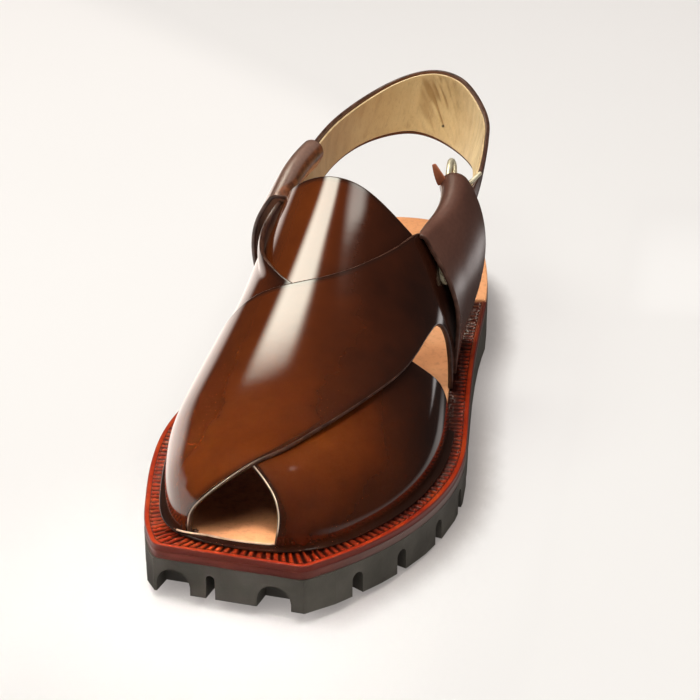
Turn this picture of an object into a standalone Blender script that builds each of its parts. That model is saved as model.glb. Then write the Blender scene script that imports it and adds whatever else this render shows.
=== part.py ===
"""Norozi chappal, left shoe: a south asian sandal with a crossed-strap upper on a lugged rubber sole.

The shoe stands on its sole with the toe towards -Y, the outer (lateral) side towards +X and +Z up.
Sizes are in millimetres until a mesh is made, which is in metres.
A "station" is the distance from the back of the heel towards the toe.
The upper's pieces are drawn on a flat pattern of the last, (x, station) pairs in which each wall is laid
out flat between the feather line, where the upper meets the sole, and the ridge along the instep.
"""
import math

import bmesh
import bpy
import numpy as np
from mathutils import Vector

MM = 0.001

# ---------------------------------------------------------------- driving dimensions
SHOE_LENGTH = 286.0          # heel to the outer toe corner's plane
CENTRE_X = -1.05             # middle of the shoe's width, moved to X = 0
CENTRE_STATION = 141.15      # middle of the shoe's length, moved to Y = 0

WELT_HEIGHT = 16.5           # top of the welt above the floor at the ball
HEEL_RISE = 4.0              # how much higher the welt is at the heel
TOE_SPRING = 4.5             # how much higher the welt is at the toe
HEEL_STATION = 60.0
BALL_STATION = 175.0
SPRING_STATION = 205.0

LAYER_GAP = 0.3
MIDSOLE_BASE = 4.6           # depth of each layer's face below the welt's top
MIDSOLE_TOP = 2.3
WELT_BASE = 2.0
INSOLE_RISE = 0.8
ARCH_LIFT = 3.4
HEEL_BEVEL = 1.2

FEATHER_INSET = 8.5          # sole edge to the foot of the upper
WELT_INNER_INSET = 9.0
INSET_SOFTENING = 12         # rounds that average out the corners of an inset outline
INSOLE_INSET = 9.6
WELT_END = 78.0              # the welt stops here and the footbed runs on to the sole's edge

LEATHER = 1.8
TONGUE_LEATHER = 2.5         # the tongue is lined
SEAT = 0.3                   # a strap's foot stands this far outside the feather line
FOOT = 0.9                   # and this far above the welt
FLANGE_WIDTH = 3.2
FLANGE_THICKNESS = 1.5

# sole outline: station, lateral x, medial x
SOLE = np.array([
    (0.0, 9.0, -10.0),
    (4.0, 18.0, -20.0),
    (14.0, 28.5, -30.5),
    (28.0, 34.5, -35.5),
    (46.0, 38.5, -36.0),
    (72.0, 42.0, -33.0),
    (100.0, 43.0, -31.0),
    (129.0, 44.5, -34.5),
    (157.0, 47.0, -43.5),
    (180.0, 49.5, -51.5),
    (200.0, 51.0, -53.0),
    (223.0, 48.0, -50.5),
    (246.0, 40.0, -45.5),
    (266.0, 28.5, -40.0),
])
HEEL_BACK = (-0.5, -1.2)
TOE_CORNER_LATERAL = (14.5, 283.5)
TOE_CORNER_MEDIAL = (-34.0, 278.0)

# last: station, ridge x, ridge height, lateral bulge, medial bulge, lateral fullness, medial fullness
LAST = np.array([
    (92.0, -2.0, 78.0, 10.0, 4.0, 2.0, 2.0),
    (112.0, -3.0, 83.5, 9.0, 5.5, 2.0, 2.0),
    (132.0, -4.0, 77.0, 1.4, 4.5, 2.0, 2.0),
    (152.0, -5.0, 66.0, 0.2, 2.2, 2.0, 2.0),
    (172.0, -6.0, 56.0, 0.0, -2.0, 2.0, 2.0),
    (192.0, -7.0, 46.5, 0.0, -3.4, 2.0, 2.0),
    (212.0, -9.0, 38.5, 0.0, -2.0, 2.1, 2.0),
    (232.0, -11.0, 31.5, 0.0, 0.0, 2.2, 2.15),
    (257.0, -13.0, 24.0, 0.0, 0.0, 2.3, 2.4),
])
LAST_BACK = 92.0             # rearmost station of the last that carries a strap
FAN_STATION = 225.0          # in front of this the sections fan round the toe
TIP_STATION = 257.0          # front end of the ridge
TOE_CENTRE_X = -11.0

# pattern of the upper: (x, station) along each edge, from the strap's toe end to its leg
OVER_STRAP_FRONT = [
    (-20.5, 271.0), (-21.0, 268.3), (-20.0, 265.6), (-15.0, 264.2), (-10.0, 262.0), (-6.5, 258.0),
    (-2.0, 247.0), (4.0, 234.0), (10.0, 220.0), (15.0, 207.0), (19.0, 192.0), (21.8, 177.0),
    (24.0, 165.0), (28.0, 155.5), (32.0, 151.5), (38.6, 150.0),
]
OVER_STRAP_REAR = [
    (-42.8, 180.0), (-33.0, 184.5), (-25.0, 186.6), (-18.5, 186.6), (-12.5, 187.0), (-7.3, 185.6),
    (-0.6, 180.5), (6.0, 169.8), (11.0, 156.8), (14.6, 143.6), (19.0, 134.0), (26.0, 127.5), (36.0, 124.0),
]
UNDER_STRAP_FRONT = [
    (2.8, 271.6), (-0.8, 268.3), (-6.5, 263.7), (-10.5, 260.0), (-18.0, 246.0), (-23.0, 221.0),
    (-26.4, 192.0), (-26.6, 168.0), (-27.4, 158.0), (-29.2, 151.0), (-30.4, 146.0),
]
UNDER_STRAP_REAR = [
    (41.0, 178.0), (34.0, 181.2), (30.0, 185.0), (24.0, 192.0), (18.3, 195.8), (10.0, 197.0), (2.0, 193.0),
    (-4.0, 187.5), (-7.3, 183.8), (-10.2, 176.6), (-13.0, 167.5), (-15.4, 154.5), (-15.8, 140.0),
    (-14.8, 131.0), (-15.6, 124.0), (-19.0, 119.0), (-23.2, 116.0),
]
TONGUE_TOP = [
    (-14.6, 129.0), (-11.0, 137.6), (-8.2, 140.5), (-5.0, 141.6), (0.0, 142.2), (5.0, 144.0), (10.0, 145.5),
    (15.0, 145.0), (19.0, 143.5),
]
TONGUE_BOTTOM = [(-16.0, 178.0), (-10.0, 192.0), (-2.0, 198.0), (8.0, 193.0), (17.0, 172.0)]
TONGUE_LEFT = [(-14.6, 129.0), (-18.5, 145.0), (-18.5, 162.0), (-16.0, 178.0)]
TONGUE_RIGHT = [(19.0, 143.5), (20.5, 155.0), (17.0, 172.0)]

# how far each layer's inner face stands off the last where the layers are stacked
TONGUE_LIFT = 0.2
UNDER_LIFT = 1.2
OVER_LIFT = 2.2
LIFT_SHARE = 0.45            # a layer reaches its full lift at this share of the way from feather to ridge


# ---------------------------------------------------------------- curves and outlines
LOOP_SLACK = 0.15            # an inset point this much nearer than its distance belongs to a loop


def smoothstep(value):
    value = np.clip(value, 0.0, 1.0)
    return value * value * (3.0 - 2.0 * value)


def lengths_along(points):
    """Distance from the first point to each point of a path."""
    steps = np.linalg.norm(np.diff(points, axis=0), axis=1)
    return np.concatenate([[0.0], np.cumsum(steps)])


def through(value, knots, heights):
    """Smooth curve through a table's rows, held level past both ends."""
    value = np.clip(value, knots[0], knots[-1])
    span = np.diff(knots)
    slope = np.diff(heights) / span
    inner = (slope[:-1] * span[1:] + slope[1:] * span[:-1]) / (span[1:] + span[:-1])
    tangent = np.concatenate([[slope[0]], inner, [slope[-1]]])
    row = np.clip(np.searchsorted(knots, value, side="right") - 1, 0, len(span) - 1)
    t = (value - knots[row]) / span[row]
    rise = t * t * (3.0 - 2.0 * t)
    leave = t * (1.0 - t) ** 2 * span[row] * tangent[row]
    arrive = t * t * (t - 1.0) * span[row] * tangent[row + 1]
    return heights[row] * (1.0 - rise) + heights[row + 1] * rise + leave + arrive


def smooth_path(points, count):
    """A smooth open path through the points, as evenly spaced points."""
    points = np.array(points, dtype=float)
    knots = lengths_along(points)
    dense = np.linspace(0.0, knots[-1], 20 * len(points))
    path = np.stack([through(dense, knots, points[:, k]) for k in range(points.shape[1])], axis=-1)
    return spread(path, count)


def spread(path, count):
    """The same open path with evenly spaced points."""
    knots = lengths_along(path)
    places = np.linspace(0.0, knots[-1], count)
    return np.stack([np.interp(places, knots, path[:, k]) for k in range(path.shape[1])], axis=-1)


def close_spread(path, step):
    """A closed path with evenly spaced points about a step apart."""
    loop = np.concatenate([path, path[:1]])
    count = int(round(lengths_along(loop)[-1] / step))
    return spread(loop, count + 1)[:-1]


def soften(path, reach):
    """Round a closed path's corners by averaging each point with its neighbours, twice."""
    for _ in range(2):
        path = np.mean([np.roll(path, shift, axis=0) for shift in range(-reach, reach + 1)], axis=0)
    return path


def inset(path, distance):
    """A closed path moved inwards, without the loops that this makes at its corners."""
    along = np.roll(path, -1, axis=0) - np.roll(path, 1, axis=0)
    along /= np.linalg.norm(along, axis=1, keepdims=True)
    inward = np.stack([-along[:, 1], along[:, 0]], axis=-1)
    turned = np.sum(path[:, 0] * np.roll(path[:, 1], -1) - np.roll(path[:, 0], -1) * path[:, 1])
    moved = path + inward * distance * math.copysign(1.0, turned)
    nearest = np.min(np.linalg.norm(moved[:, None] - path[None], axis=2), axis=1)
    return close_spread(moved[nearest >= distance - LOOP_SLACK], 1.0)


def sole_side(column):
    """One side of the sole as (x, station), from the heel to the toe corner."""
    corner = TOE_CORNER_LATERAL if column == 1 else TOE_CORNER_MEDIAL
    return [(row[column], row[0]) for row in SOLE] + [corner]


def sole_outline():
    path = sole_side(2)[::-1] + [HEEL_BACK] + sole_side(1)
    return soften(close_spread(smooth_path(path, 800), 1.0), 2)


def side_x(path, side, station):
    """Where a closed outline's lateral (+1) or medial (-1) side is at a station."""
    centre = np.where(path[:, 1] > SPRING_STATION, TOE_CENTRE_X, 0.0)
    part = path[(path[:, 0] - centre) * side > 0.0]
    part = part[np.argsort(part[:, 1])]
    return np.interp(station, part[:, 1], part[:, 0])


def welt_top(station):
    heel = HEEL_RISE * (1.0 - smoothstep((station - HEEL_STATION) / (BALL_STATION - HEEL_STATION)))
    toe = np.clip((station - SPRING_STATION) / (SHOE_LENGTH - SPRING_STATION), 0.0, 1.2)
    return WELT_HEIGHT + heel + TOE_SPRING * toe**2


def patch(start, end, front, rear):
    """Points filling the area between four paths that share corners.

    Start and end run from front to rear, and front and rear run from start to end.
    Straight rungs join front to rear, bent towards the start and end paths near them.
    """
    u = np.linspace(0.0, 1.0, len(front))[:, None, None]
    v = np.linspace(0.0, 1.0, len(start))[None, :, None]
    rungs = (1.0 - v) * front[:, None] + v * rear[:, None]
    return rungs + (start - rungs[0]) * (1.0 - u) ** 3 + (end - rungs[-1]) * u**3


# ---------------------------------------------------------------- the last
BULGE_GAIN = 2.6             # makes the bulge's greatest reach equal the value in LAST
CORE = (-5.0, 8.0, 5.0)      # a point inside each section: its x, how far behind it, and above the welt


class Last:
    """The foot form: superelliptic walls from the feather line up to the ridge, fanned round the toe."""

    SAMPLES = 401

    def __init__(self):
        self.outline = soften(inset(sole_outline(), FEATHER_INSET), INSET_SOFTENING)
        front = np.where(self.outline[:, 1] > SPRING_STATION, np.abs(self.outline[:, 0] - TOE_CENTRE_X), 1e3)
        path = np.roll(self.outline, -int(np.argmin(front)), axis=0)
        if path[5, 0] < path[0, 0]:
            path = np.roll(path[::-1], 1, axis=0)
        self.lateral = self.half(path)
        self.medial = self.half(np.roll(path[::-1], 1, axis=0))
        self.share = np.linspace(0.0, 1.0, self.SAMPLES)
        self.girth = (self.lateral[:, 1] + self.medial[:, 1]) / 2.0
        self.front = self.girth[-1]

    def half(self, path):
        """The feather line from the rearmost station to the toe's centre, evenly spaced."""
        stop = int(np.argmax(path[:, 1] < LAST_BACK))
        return spread(path[:stop + 1][::-1], self.SAMPLES)

    def section(self, girth, lateral):
        """Feather point and ridge point of a section, and the ridge's station."""
        share = np.interp(girth, self.girth, self.share)
        sides = [np.stack([np.interp(share, self.share, half[:, k]) for k in (0, 1)], axis=-1)
                 for half in (self.lateral, self.medial)]
        feather = np.where(lateral[..., None], sides[0], sides[1])
        turn = np.clip((girth - FAN_STATION) / (self.front - FAN_STATION), 0.0, 1.0)
        fanned = FAN_STATION + (TIP_STATION - FAN_STATION) * np.sin(0.5 * np.pi * turn)
        station = np.where(girth < FAN_STATION, girth, fanned)
        ridge = np.stack([through(station, LAST[:, 0], LAST[:, 1]), station], axis=-1)
        return feather, ridge

    def surface(self, girth, angle):
        """Points on the last; the angle runs from 0 at the lateral feather to pi at the medial one."""
        lateral = angle <= 0.5 * np.pi
        feather, ridge = self.section(girth, lateral)
        height, bulge_lateral, bulge_medial, full_lateral, full_medial = [
            through(ridge[..., 1], LAST[:, 0], LAST[:, column]) for column in range(2, 7)]
        power = 2.0 / np.where(lateral, full_lateral, full_medial)
        bulge = np.where(lateral, bulge_lateral, bulge_medial)
        across = np.abs(np.cos(angle))
        inward = ridge - feather
        outward = -inward / (np.linalg.norm(inward, axis=-1, keepdims=True) + 1e-9)
        swell = bulge * BULGE_GAIN * np.sin(angle) * across**2
        plan = feather + inward * (1.0 - across**power)[..., None] + outward * swell[..., None]
        top = welt_top(plan[..., 1]) + FOOT + height * np.abs(np.sin(angle)) ** power
        return np.concatenate([plan, top[..., None]], axis=-1)

    def normal(self, girth, angle):
        """Outward unit normals."""
        low = np.clip(angle - 0.01, 1e-4, np.pi - 1e-4)
        high = np.clip(angle + 0.01, 1e-4, np.pi - 1e-4)
        back = np.clip(girth - 0.5, LAST_BACK + 0.1, self.front - 0.01)
        ahead = np.clip(girth + 0.5, LAST_BACK + 0.1, self.front - 0.01)
        over = self.surface(girth, high) - self.surface(girth, low)
        along = self.surface(ahead, angle) - self.surface(back, angle)
        facing = np.cross(over, along)
        facing /= np.linalg.norm(facing, axis=-1, keepdims=True) + 1e-12
        here = self.surface(girth, angle)
        across, behind, above = CORE
        core = np.stack([np.full_like(girth, across), np.minimum(girth, TIP_STATION) - behind,
                         welt_top(girth) + above], axis=-1)
        away = np.sign(np.sum((here - core) * facing, axis=-1, keepdims=True))
        return facing * away

    def unfold(self, pattern):
        """Section and angle of each point of the flat pattern."""
        x = pattern[..., 0]
        station = pattern[..., 1]
        tip_x = LAST[-1, 1]
        toe = self.lateral[-1]
        past = (station - TIP_STATION) / (toe[1] - TIP_STATION)
        ridge_x = np.where(station < TIP_STATION, through(station, LAST[:, 0], LAST[:, 1]),
                           tip_x + past * (toe[0] - tip_x))
        lateral = x >= ridge_x
        low = np.zeros_like(x)
        high = np.ones_like(x)
        for _ in range(40):
            middle = 0.5 * (low + high)
            feather, ridge = self.section(np.interp(middle, self.share, self.girth), lateral)
            run = ridge - feather
            turn = run[..., 0] * (station - feather[..., 1]) - run[..., 1] * (x - feather[..., 0])
            ahead = np.where(lateral, -turn, turn) > 0.0
            low = np.where(ahead, middle, low)
            high = np.where(ahead, high, middle)
        girth = np.interp(0.5 * (low + high), self.share, self.girth)
        feather, ridge = self.section(girth, lateral)
        run = ridge - feather
        offset = pattern - feather
        climb = np.clip(np.sum(offset * run, axis=-1) / (np.sum(run**2, axis=-1) + 1e-12), 0.0, 1.0)
        angle = climb * 0.5 * np.pi
        return girth, np.where(lateral, angle, np.pi - angle), climb

    def drape(self, pattern, lift, foot=SEAT):
        """Lay the pattern on the last; its inner face stands off by the foot below and the lift above."""
        girth, angle, climb = self.unfold(pattern)
        stand = foot + (lift - foot) * smoothstep(climb / LIFT_SHARE)
        return self.surface(girth, angle) + self.normal(girth, angle) * stand[..., None]

    def feather_between(self, start, end, count):
        """The feather line's shorter way between two pattern points on it."""
        first, last = [int(np.argmin(np.linalg.norm(self.outline - point, axis=1))) for point in (start, end)]
        size = len(self.outline)
        ahead = (last - first) % size
        step = 1 if ahead < size - ahead else -1
        places = [(first + step * k) % size for k in range(1, min(ahead, size - ahead))]
        return spread(np.concatenate([[start], self.outline[places], [end]]), count)


# ---------------------------------------------------------------- soles: dimensions
TREAD_DEPTH = 8.0            # height of the notches between the side lugs
NOTCH_WIDTH = 4.6
NOTCH_REACH = 8.0            # how far a side notch runs in from the edge
TOE_ARCH_WIDTH = 11.0
GROOVE_DEPTH = 3.0
GROOVE_WIDTH = 4.0

# notches in the outsole's sides: station, and 1 for the lateral side or -1 for the medial side
SIDE_NOTCHES = [
    (267.0, 1), (249.0, 1), (227.0, 1), (205.0, 1), (183.0, 1),
    (161.0, 1), (62.0, 1), (42.0, 1), (22.0, 1),
    (262.0, -1), (245.0, -1), (225.0, -1), (204.0, -1), (183.0, -1),
    (162.0, -1), (62.0, -1), (42.0, -1), (22.0, -1),
]
# notches in the toe's front edge: share of the edge from the lateral corner, width
TOE_NOTCHES = [(0.2, TOE_ARCH_WIDTH), (0.62, 3.0), (0.87, TOE_ARCH_WIDTH)]
# grooves across the tread, joining pairs of side notches: lateral station, medial station
TREAD_GROOVES = [(249.0, 245.0), (227.0, 225.0), (205.0, 204.0), (183.0, 183.0),
                 (161.0, 162.0), (62.0, 62.0), (42.0, 42.0), (22.0, 22.0)]

# ---------------------------------------------------------------- straps and buckle: dimensions
SIDE_LEATHER = 1.6
SIDE_FOOT = 1.1              # the side straps' feet stand outside the legs that they cover

# side straps on the pattern: front and rear edge from the sole to the fold
LATERAL_STRAP_FRONT = [(36.8, 138.5), (29.0, 139.0), (21.5, 141.0), (14.0, 143.4)]
LATERAL_STRAP_REAR = [(34.6, 111.0), (28.0, 110.5), (21.6, 110.5), (16.2, 110.5)]
MEDIAL_STRAP_FRONT = [(-26.2, 131.0), (-22.0, 130.5), (-18.0, 130.0), (-15.0, 130.0)]
MEDIAL_STRAP_REAR = [(-22.4, 103.0), (-18.4, 102.0), (-14.6, 101.0), (-11.0, 101.0)]
# inner face off the last at the front edge, halfway and at the rear edge
LATERAL_LIFT = (9.3, 8.6, 6.1)
MEDIAL_LIFT = (6.0, 5.8, 5.0)
MEDIAL_SWELL = 4.2           # how much further the medial side strap stands away halfway up its front edge
REAR_CALM = 0.6              # share of that swell that is gone at the rear edge
# inner radius of the fold and length of the tail behind it: front edge, rear edge
LATERAL_FOLD = [(0.8, 0.4), (4.3, 3.6)]
MEDIAL_FOLD = [(2.4, 5.0), (2.8, 4.0)]

BACK_STRAP_THICKNESS = 2.2
# back strap's outer face: lower edge x, station, height; upper edge x, station, height
BACK_STRAP = [
    (38.0, 116.0, 62.0, 37.4, 116.0, 69.0),
    (38.2, 107.0, 63.2, 38.6, 107.0, 73.6),
    (38.8, 96.0, 65.5, 41.0, 96.0, 78.3),
    (37.6, 80.0, 67.2, 41.0, 80.0, 80.3),
    (35.4, 62.0, 65.5, 39.6, 62.0, 81.0),
    (32.6, 45.0, 61.5, 37.4, 44.0, 81.2),
    (29.5, 30.0, 57.8, 33.6, 30.0, 82.2),
    (25.5, 18.0, 56.2, 28.2, 18.5, 84.8),
    (19.0, 9.3, 57.0, 20.8, 8.0, 87.0),
    (10.0, 4.0, 59.2, 10.5, 1.8, 87.3),
    (1.0, 2.6, 60.4, 1.0, 0.2, 85.0),
    (-8.5, 4.8, 59.5, -8.8, 3.0, 81.4),
    (-16.6, 10.6, 58.2, -16.4, 9.4, 78.0),
    (-22.6, 20.0, 57.0, -22.8, 20.5, 75.4),
    (-26.6, 33.0, 56.0, -27.2, 34.0, 73.7),
    (-28.2, 50.0, 56.0, -29.2, 50.0, 73.0),
    (-27.6, 65.0, 58.0, -28.6, 66.0, 74.8),
    (-25.6, 80.0, 62.0, -26.0, 81.0, 78.6),
    (-23.8, 92.0, 66.0, -23.6, 92.0, 82.0),
    (-25.2, 104.0, 71.0, -23.6, 104.0, 81.6),
]

BUCKLE_WIRE = 2.2
# buckle: middle of its front end and of its rear end, and half its width at each, as x, station, height
BUCKLE_FRONT = ((36.8, 146.7, 57.9), (-1.7, -0.8, 3.2))
BUCKLE_REAR = ((32.4, 97.0, 84.5), (-0.6, 0.6, 1.3))
PRONG = [(36.6, 107.0, 77.9), (39.2, 104.5, 78.9), (44.0, 99.5, 81.3)]
PRONG_WIRE = 2.0
BUCKLE_ALONG = 0.35          # below 1 these square off the buckle's loop
BUCKLE_ACROSS = 0.75
BACK_STRAP_ROWS = 64
BUCKLE_POINTS = 48
PRONG_POINTS = 10


# ---------------------------------------------------------------- mesh making
def to_model(points):
    """(x, station, height) in millimetres to the model's metres."""
    points = np.asarray(points, dtype=float)
    return np.stack([points[..., 0] - CENTRE_X, CENTRE_STATION - points[..., 1], points[..., 2]], axis=-1) * MM


def new_object(name, mesh, collection, material=None):
    thing = bpy.data.objects.new(name, mesh)
    collection.objects.link(thing)
    if material:
        mesh.materials.append(material)
    return thing


def smooth_shade(mesh, angle=40.0):
    mesh.shade_smooth()
    mesh.set_sharp_from_angle(angle=math.radians(angle))


def grid_faces(rows, columns, first=0):
    """Quads of a grid of points, wound so that they face along rows x columns."""
    faces = []
    for i in range(rows - 1):
        for j in range(columns - 1):
            corner = first + i * columns + j
            faces.append((corner, corner + columns, corner + columns + 1, corner + 1))
    return faces


def sheet(name, grid, thickness, collection, material=None, flip=False, outward=True):
    """A strap or lining: an open surface through a grid of points, given its thickness by Solidify."""
    rows, columns = grid.shape[:2]
    faces = grid_faces(rows, columns)
    if flip:
        faces = [face[::-1] for face in faces]
    mesh = bpy.data.meshes.new(name)
    mesh.from_pydata(to_model(grid).reshape(-1, 3).tolist(), [], faces)
    smooth_shade(mesh)
    thing = new_object(name, mesh, collection, material)
    solidify = thing.modifiers.new("thickness", "SOLIDIFY")
    solidify.thickness = thickness * MM
    solidify.offset = 1.0 if outward else -1.0
    return thing


def slab(name, plan, base, top, collection, material):
    """A sole layer: a plan grid of (x, station) lofted between two heights that change with the station."""
    rows, columns = plan.shape[:2]
    levels = []
    for height in (base, top):
        levels.append(np.concatenate([plan, height(plan)[..., None]], axis=-1).reshape(-1, 3))
    count = rows * columns
    under = [face[::-1] for face in grid_faces(rows, columns)]
    over = grid_faces(rows, columns, count)
    rim = list(range(columns))
    rim += [i * columns + columns - 1 for i in range(1, rows)]
    rim += [(rows - 1) * columns + j for j in range(columns - 2, -1, -1)]
    rim += [i * columns for i in range(rows - 2, 0, -1)]
    wall = []
    for here, ahead in zip(rim, rim[1:] + rim[:1]):
        wall.append((ahead, here, here + count, ahead + count))
    mesh = bpy.data.meshes.new(name)
    mesh.from_pydata(to_model(np.concatenate(levels)).tolist(), [], under + over + wall)
    shape = bmesh.new()
    shape.from_mesh(mesh)
    bmesh.ops.recalc_face_normals(shape, faces=shape.faces)
    shape.to_mesh(mesh)
    shape.free()
    smooth_shade(mesh, 30.0)
    return new_object(name, mesh, collection, material)


def wire(name, points, thickness, closed, collection, material):
    """A bent wire with a round section."""
    curve = bpy.data.curves.new(name, "CURVE")
    curve.dimensions = "3D"
    curve.bevel_depth = 0.5 * thickness * MM
    curve.bevel_resolution = 2
    curve.use_fill_caps = True
    spline = curve.splines.new("POLY")
    spline.points.add(len(points) - 1)
    for point, place in zip(spline.points, to_model(points)):
        point.co = (*place, 1.0)
    spline.use_cyclic_u = closed
    return new_object(name, curve, collection, material)


ARCH_STEPS = 8               # flats round a slot's top
CUT_PAST = 2.0               # how far a notch's cutter runs past the face that it opens
GROOVE_PAST = 3.0            # and a groove's


def arch_cutter(name, middle, heading, width, height, reach, collection):
    """A round-topped slot open at the bottom; the heading points the way that it runs, in plan."""
    outline = [(-0.5 * width, -CUT_PAST), (0.5 * width, -CUT_PAST)]
    for step in range(ARCH_STEPS + 1):
        angle = math.pi * step / ARCH_STEPS
        outline.append((0.5 * width * math.cos(angle), height - 0.5 * width * (1.0 - math.sin(angle))))
    shape = bmesh.new()
    run = Vector((heading[0], heading[1], 0.0)).normalized()
    side = Vector((-run.y, run.x, 0.0))
    start = Vector(middle)
    corners = []
    for across, up in outline:
        corners.append(shape.verts.new(start + side * across * MM + Vector((0.0, 0.0, up * MM))))
    face = shape.faces.new(corners)
    pulled = bmesh.ops.extrude_face_region(shape, geom=[face])
    moved = [item for item in pulled["geom"] if isinstance(item, bmesh.types.BMVert)]
    bmesh.ops.translate(shape, verts=moved, vec=run * reach * MM)
    bmesh.ops.recalc_face_normals(shape, faces=shape.faces)
    mesh = bpy.data.meshes.new(name)
    shape.to_mesh(mesh)
    shape.free()
    return new_object(name, mesh, collection)


def combine(target, operand, operation):
    """Boolean with the EXACT solver; the operand only guides it."""
    operand.hide_render = True
    operand.display_type = "WIRE"
    step = target.modifiers.new(operand.name, "BOOLEAN")
    step.operation = operation
    step.object = operand


def material(name, colour, roughness, metallic=0.0):
    made = bpy.data.materials.new(name)
    made.use_nodes = True
    shader = made.node_tree.nodes["Principled BSDF"]
    shader.inputs["Base Color"].default_value = (*colour, 1.0)
    shader.inputs["Roughness"].default_value = roughness
    shader.inputs["Metallic"].default_value = metallic
    return made


# ---------------------------------------------------------------- the sole's layers
SIDE_STATIONS = [14.0, 22.0, 34.0, 48.0, 62.0, 77.8, 78.2, 90.0, 104.0, 118.0, 132.0,
                 146.0, 160.0, 174.0, 188.0, 200.0, 212.0, 224.0, 236.0, 248.0, 258.0, 266.0]
ACROSS = 9
CORNER_SWELL = 1.0           # how far the edge just behind a toe corner stands out from the straight line
FOOTBED_INSET = 0.5          # sole edge to the footbed's edge, behind the welt's end
FOOTBED_FRONT = 262.0        # the footbed's and the welt's inner sides round off in front of these stations
WELT_SIDE_FRONT = 255.0
WELT_ARC_FRONT = 250.0
# stations where the arch and the heel's bevel begin, and how far they take to reach their full height
ARCH_REAR = (82.0, 14.0)
ARCH_FRONT = (122.0, 26.0)
BEVEL_FROM = (8.0, 10.0)


def heel_arc(path, station):
    """The part of a closed outline behind a station, from the medial to the lateral side."""
    part = path[path[:, 1] < station]
    part = part[np.argsort(np.arctan2(part[:, 0], 30.0 - part[:, 1]))]
    ends = [[side_x(path, side, station), station] for side in (-1, 1)]
    return np.concatenate([[ends[0]], part, [ends[1]]])


def before_corner(end, corner, side):
    """A point of the sole's edge halfway between its last side point and a toe corner."""
    return (end[0] + corner[0]) * 0.5 + CORNER_SWELL * side, (end[1] + corner[1]) * 0.5


def sole_plan():
    """Plan grid of the full sole, with square toe corners: rows along it, columns from medial to lateral."""
    path = sole_outline()
    sides = []
    for side, corner in ((-1, TOE_CORNER_MEDIAL), (1, TOE_CORNER_LATERAL)):
        edge = [(side_x(path, side, station), station) for station in SIDE_STATIONS]
        sides.append(np.array(edge + [before_corner(edge[-1], corner, side), corner]))
    heel = spread(heel_arc(path, SIDE_STATIONS[0]), ACROSS)
    toe = spread(np.array([TOE_CORNER_MEDIAL, TOE_CORNER_LATERAL]), ACROSS)
    return patch(heel, toe, sides[0], sides[1])


def insole_plan():
    """Plan grid of the footbed: out to the sole's edge at the heel, inside the upper in front of it."""
    wide = soften(inset(sole_outline(), FOOTBED_INSET), 1)
    narrow = soften(inset(sole_outline(), INSOLE_INSET), INSET_SOFTENING)
    stations = [station for station in SIDE_STATIONS if station < FOOTBED_FRONT]
    sides = []
    for side in (-1, 1):
        edge = []
        for station in stations:
            path = wide if station < WELT_END else narrow
            edge.append((side_x(path, side, station), station))
        sides.append(np.array(edge))
    heel = spread(heel_arc(wide, stations[0]), ACROSS)
    front = narrow[narrow[:, 1] > stations[-1]]
    front = front[np.argsort(front[:, 0])]
    front = np.concatenate([[sides[0][-1]], front, [sides[1][-1]]])
    return patch(heel, spread(front, ACROSS), sides[0], sides[1])


def welt_plan():
    """Plan grid of the welt: a band from its lateral end round the toe to its medial end."""
    path = sole_outline()
    inner = soften(inset(path, WELT_INNER_INSET), INSET_SOFTENING)
    stations = [WELT_END + 0.6] + [station for station in SIDE_STATIONS if station > WELT_END + 5.0]
    rear_stations = [station for station in stations if station < WELT_SIDE_FRONT]
    outer = []
    inside = []
    for side, corner in ((1, TOE_CORNER_LATERAL), (-1, TOE_CORNER_MEDIAL)):
        edge = [(side_x(path, side, station), station) for station in stations]
        outer.append(edge + [before_corner(edge[-1], corner, side)])
        inside.append([(side_x(inner, side, station), station) for station in rear_stations])
    toe = spread(np.array([TOE_CORNER_LATERAL, TOE_CORNER_MEDIAL]), ACROSS)
    outer_edge = np.concatenate([outer[0], toe, outer[1][::-1]])
    front = inner[inner[:, 1] > WELT_ARC_FRONT]
    front = front[np.argsort(-front[:, 0])]
    arc = spread(front, len(outer_edge) - len(inside[0]) - len(inside[1]))
    inner_edge = np.concatenate([inside[0], arc, inside[1][::-1]])
    return np.stack([inner_edge, outer_edge], axis=1)


def outsole_base(plan):
    """Height of the outsole's underside: toe spring, arch and the bevel at the back of the heel."""
    station = plan[..., 1]
    toe = welt_top(np.maximum(station, BALL_STATION)) - WELT_HEIGHT
    arch = ARCH_LIFT * smoothstep((station - ARCH_REAR[0]) / ARCH_REAR[1])
    arch *= 1.0 - smoothstep((station - ARCH_FRONT[0]) / ARCH_FRONT[1])
    heel = HEEL_BEVEL * smoothstep((BEVEL_FROM[0] - station) / BEVEL_FROM[1])
    return toe + arch + heel


def below_welt(depth):
    return lambda plan: welt_top(plan[..., 1]) - depth


def outward_of(path, point):
    """Outward direction in plan of the closed outline at its nearest point."""
    nearest = int(np.argmin(np.linalg.norm(path - point, axis=1)))
    along = path[(nearest + 3) % len(path)] - path[nearest - 3]
    across = np.array([along[1], -along[0]]) / np.linalg.norm(along)
    middle = path.mean(axis=0)
    return across if np.dot(path[nearest] - middle, across) > 0.0 else -across


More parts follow.
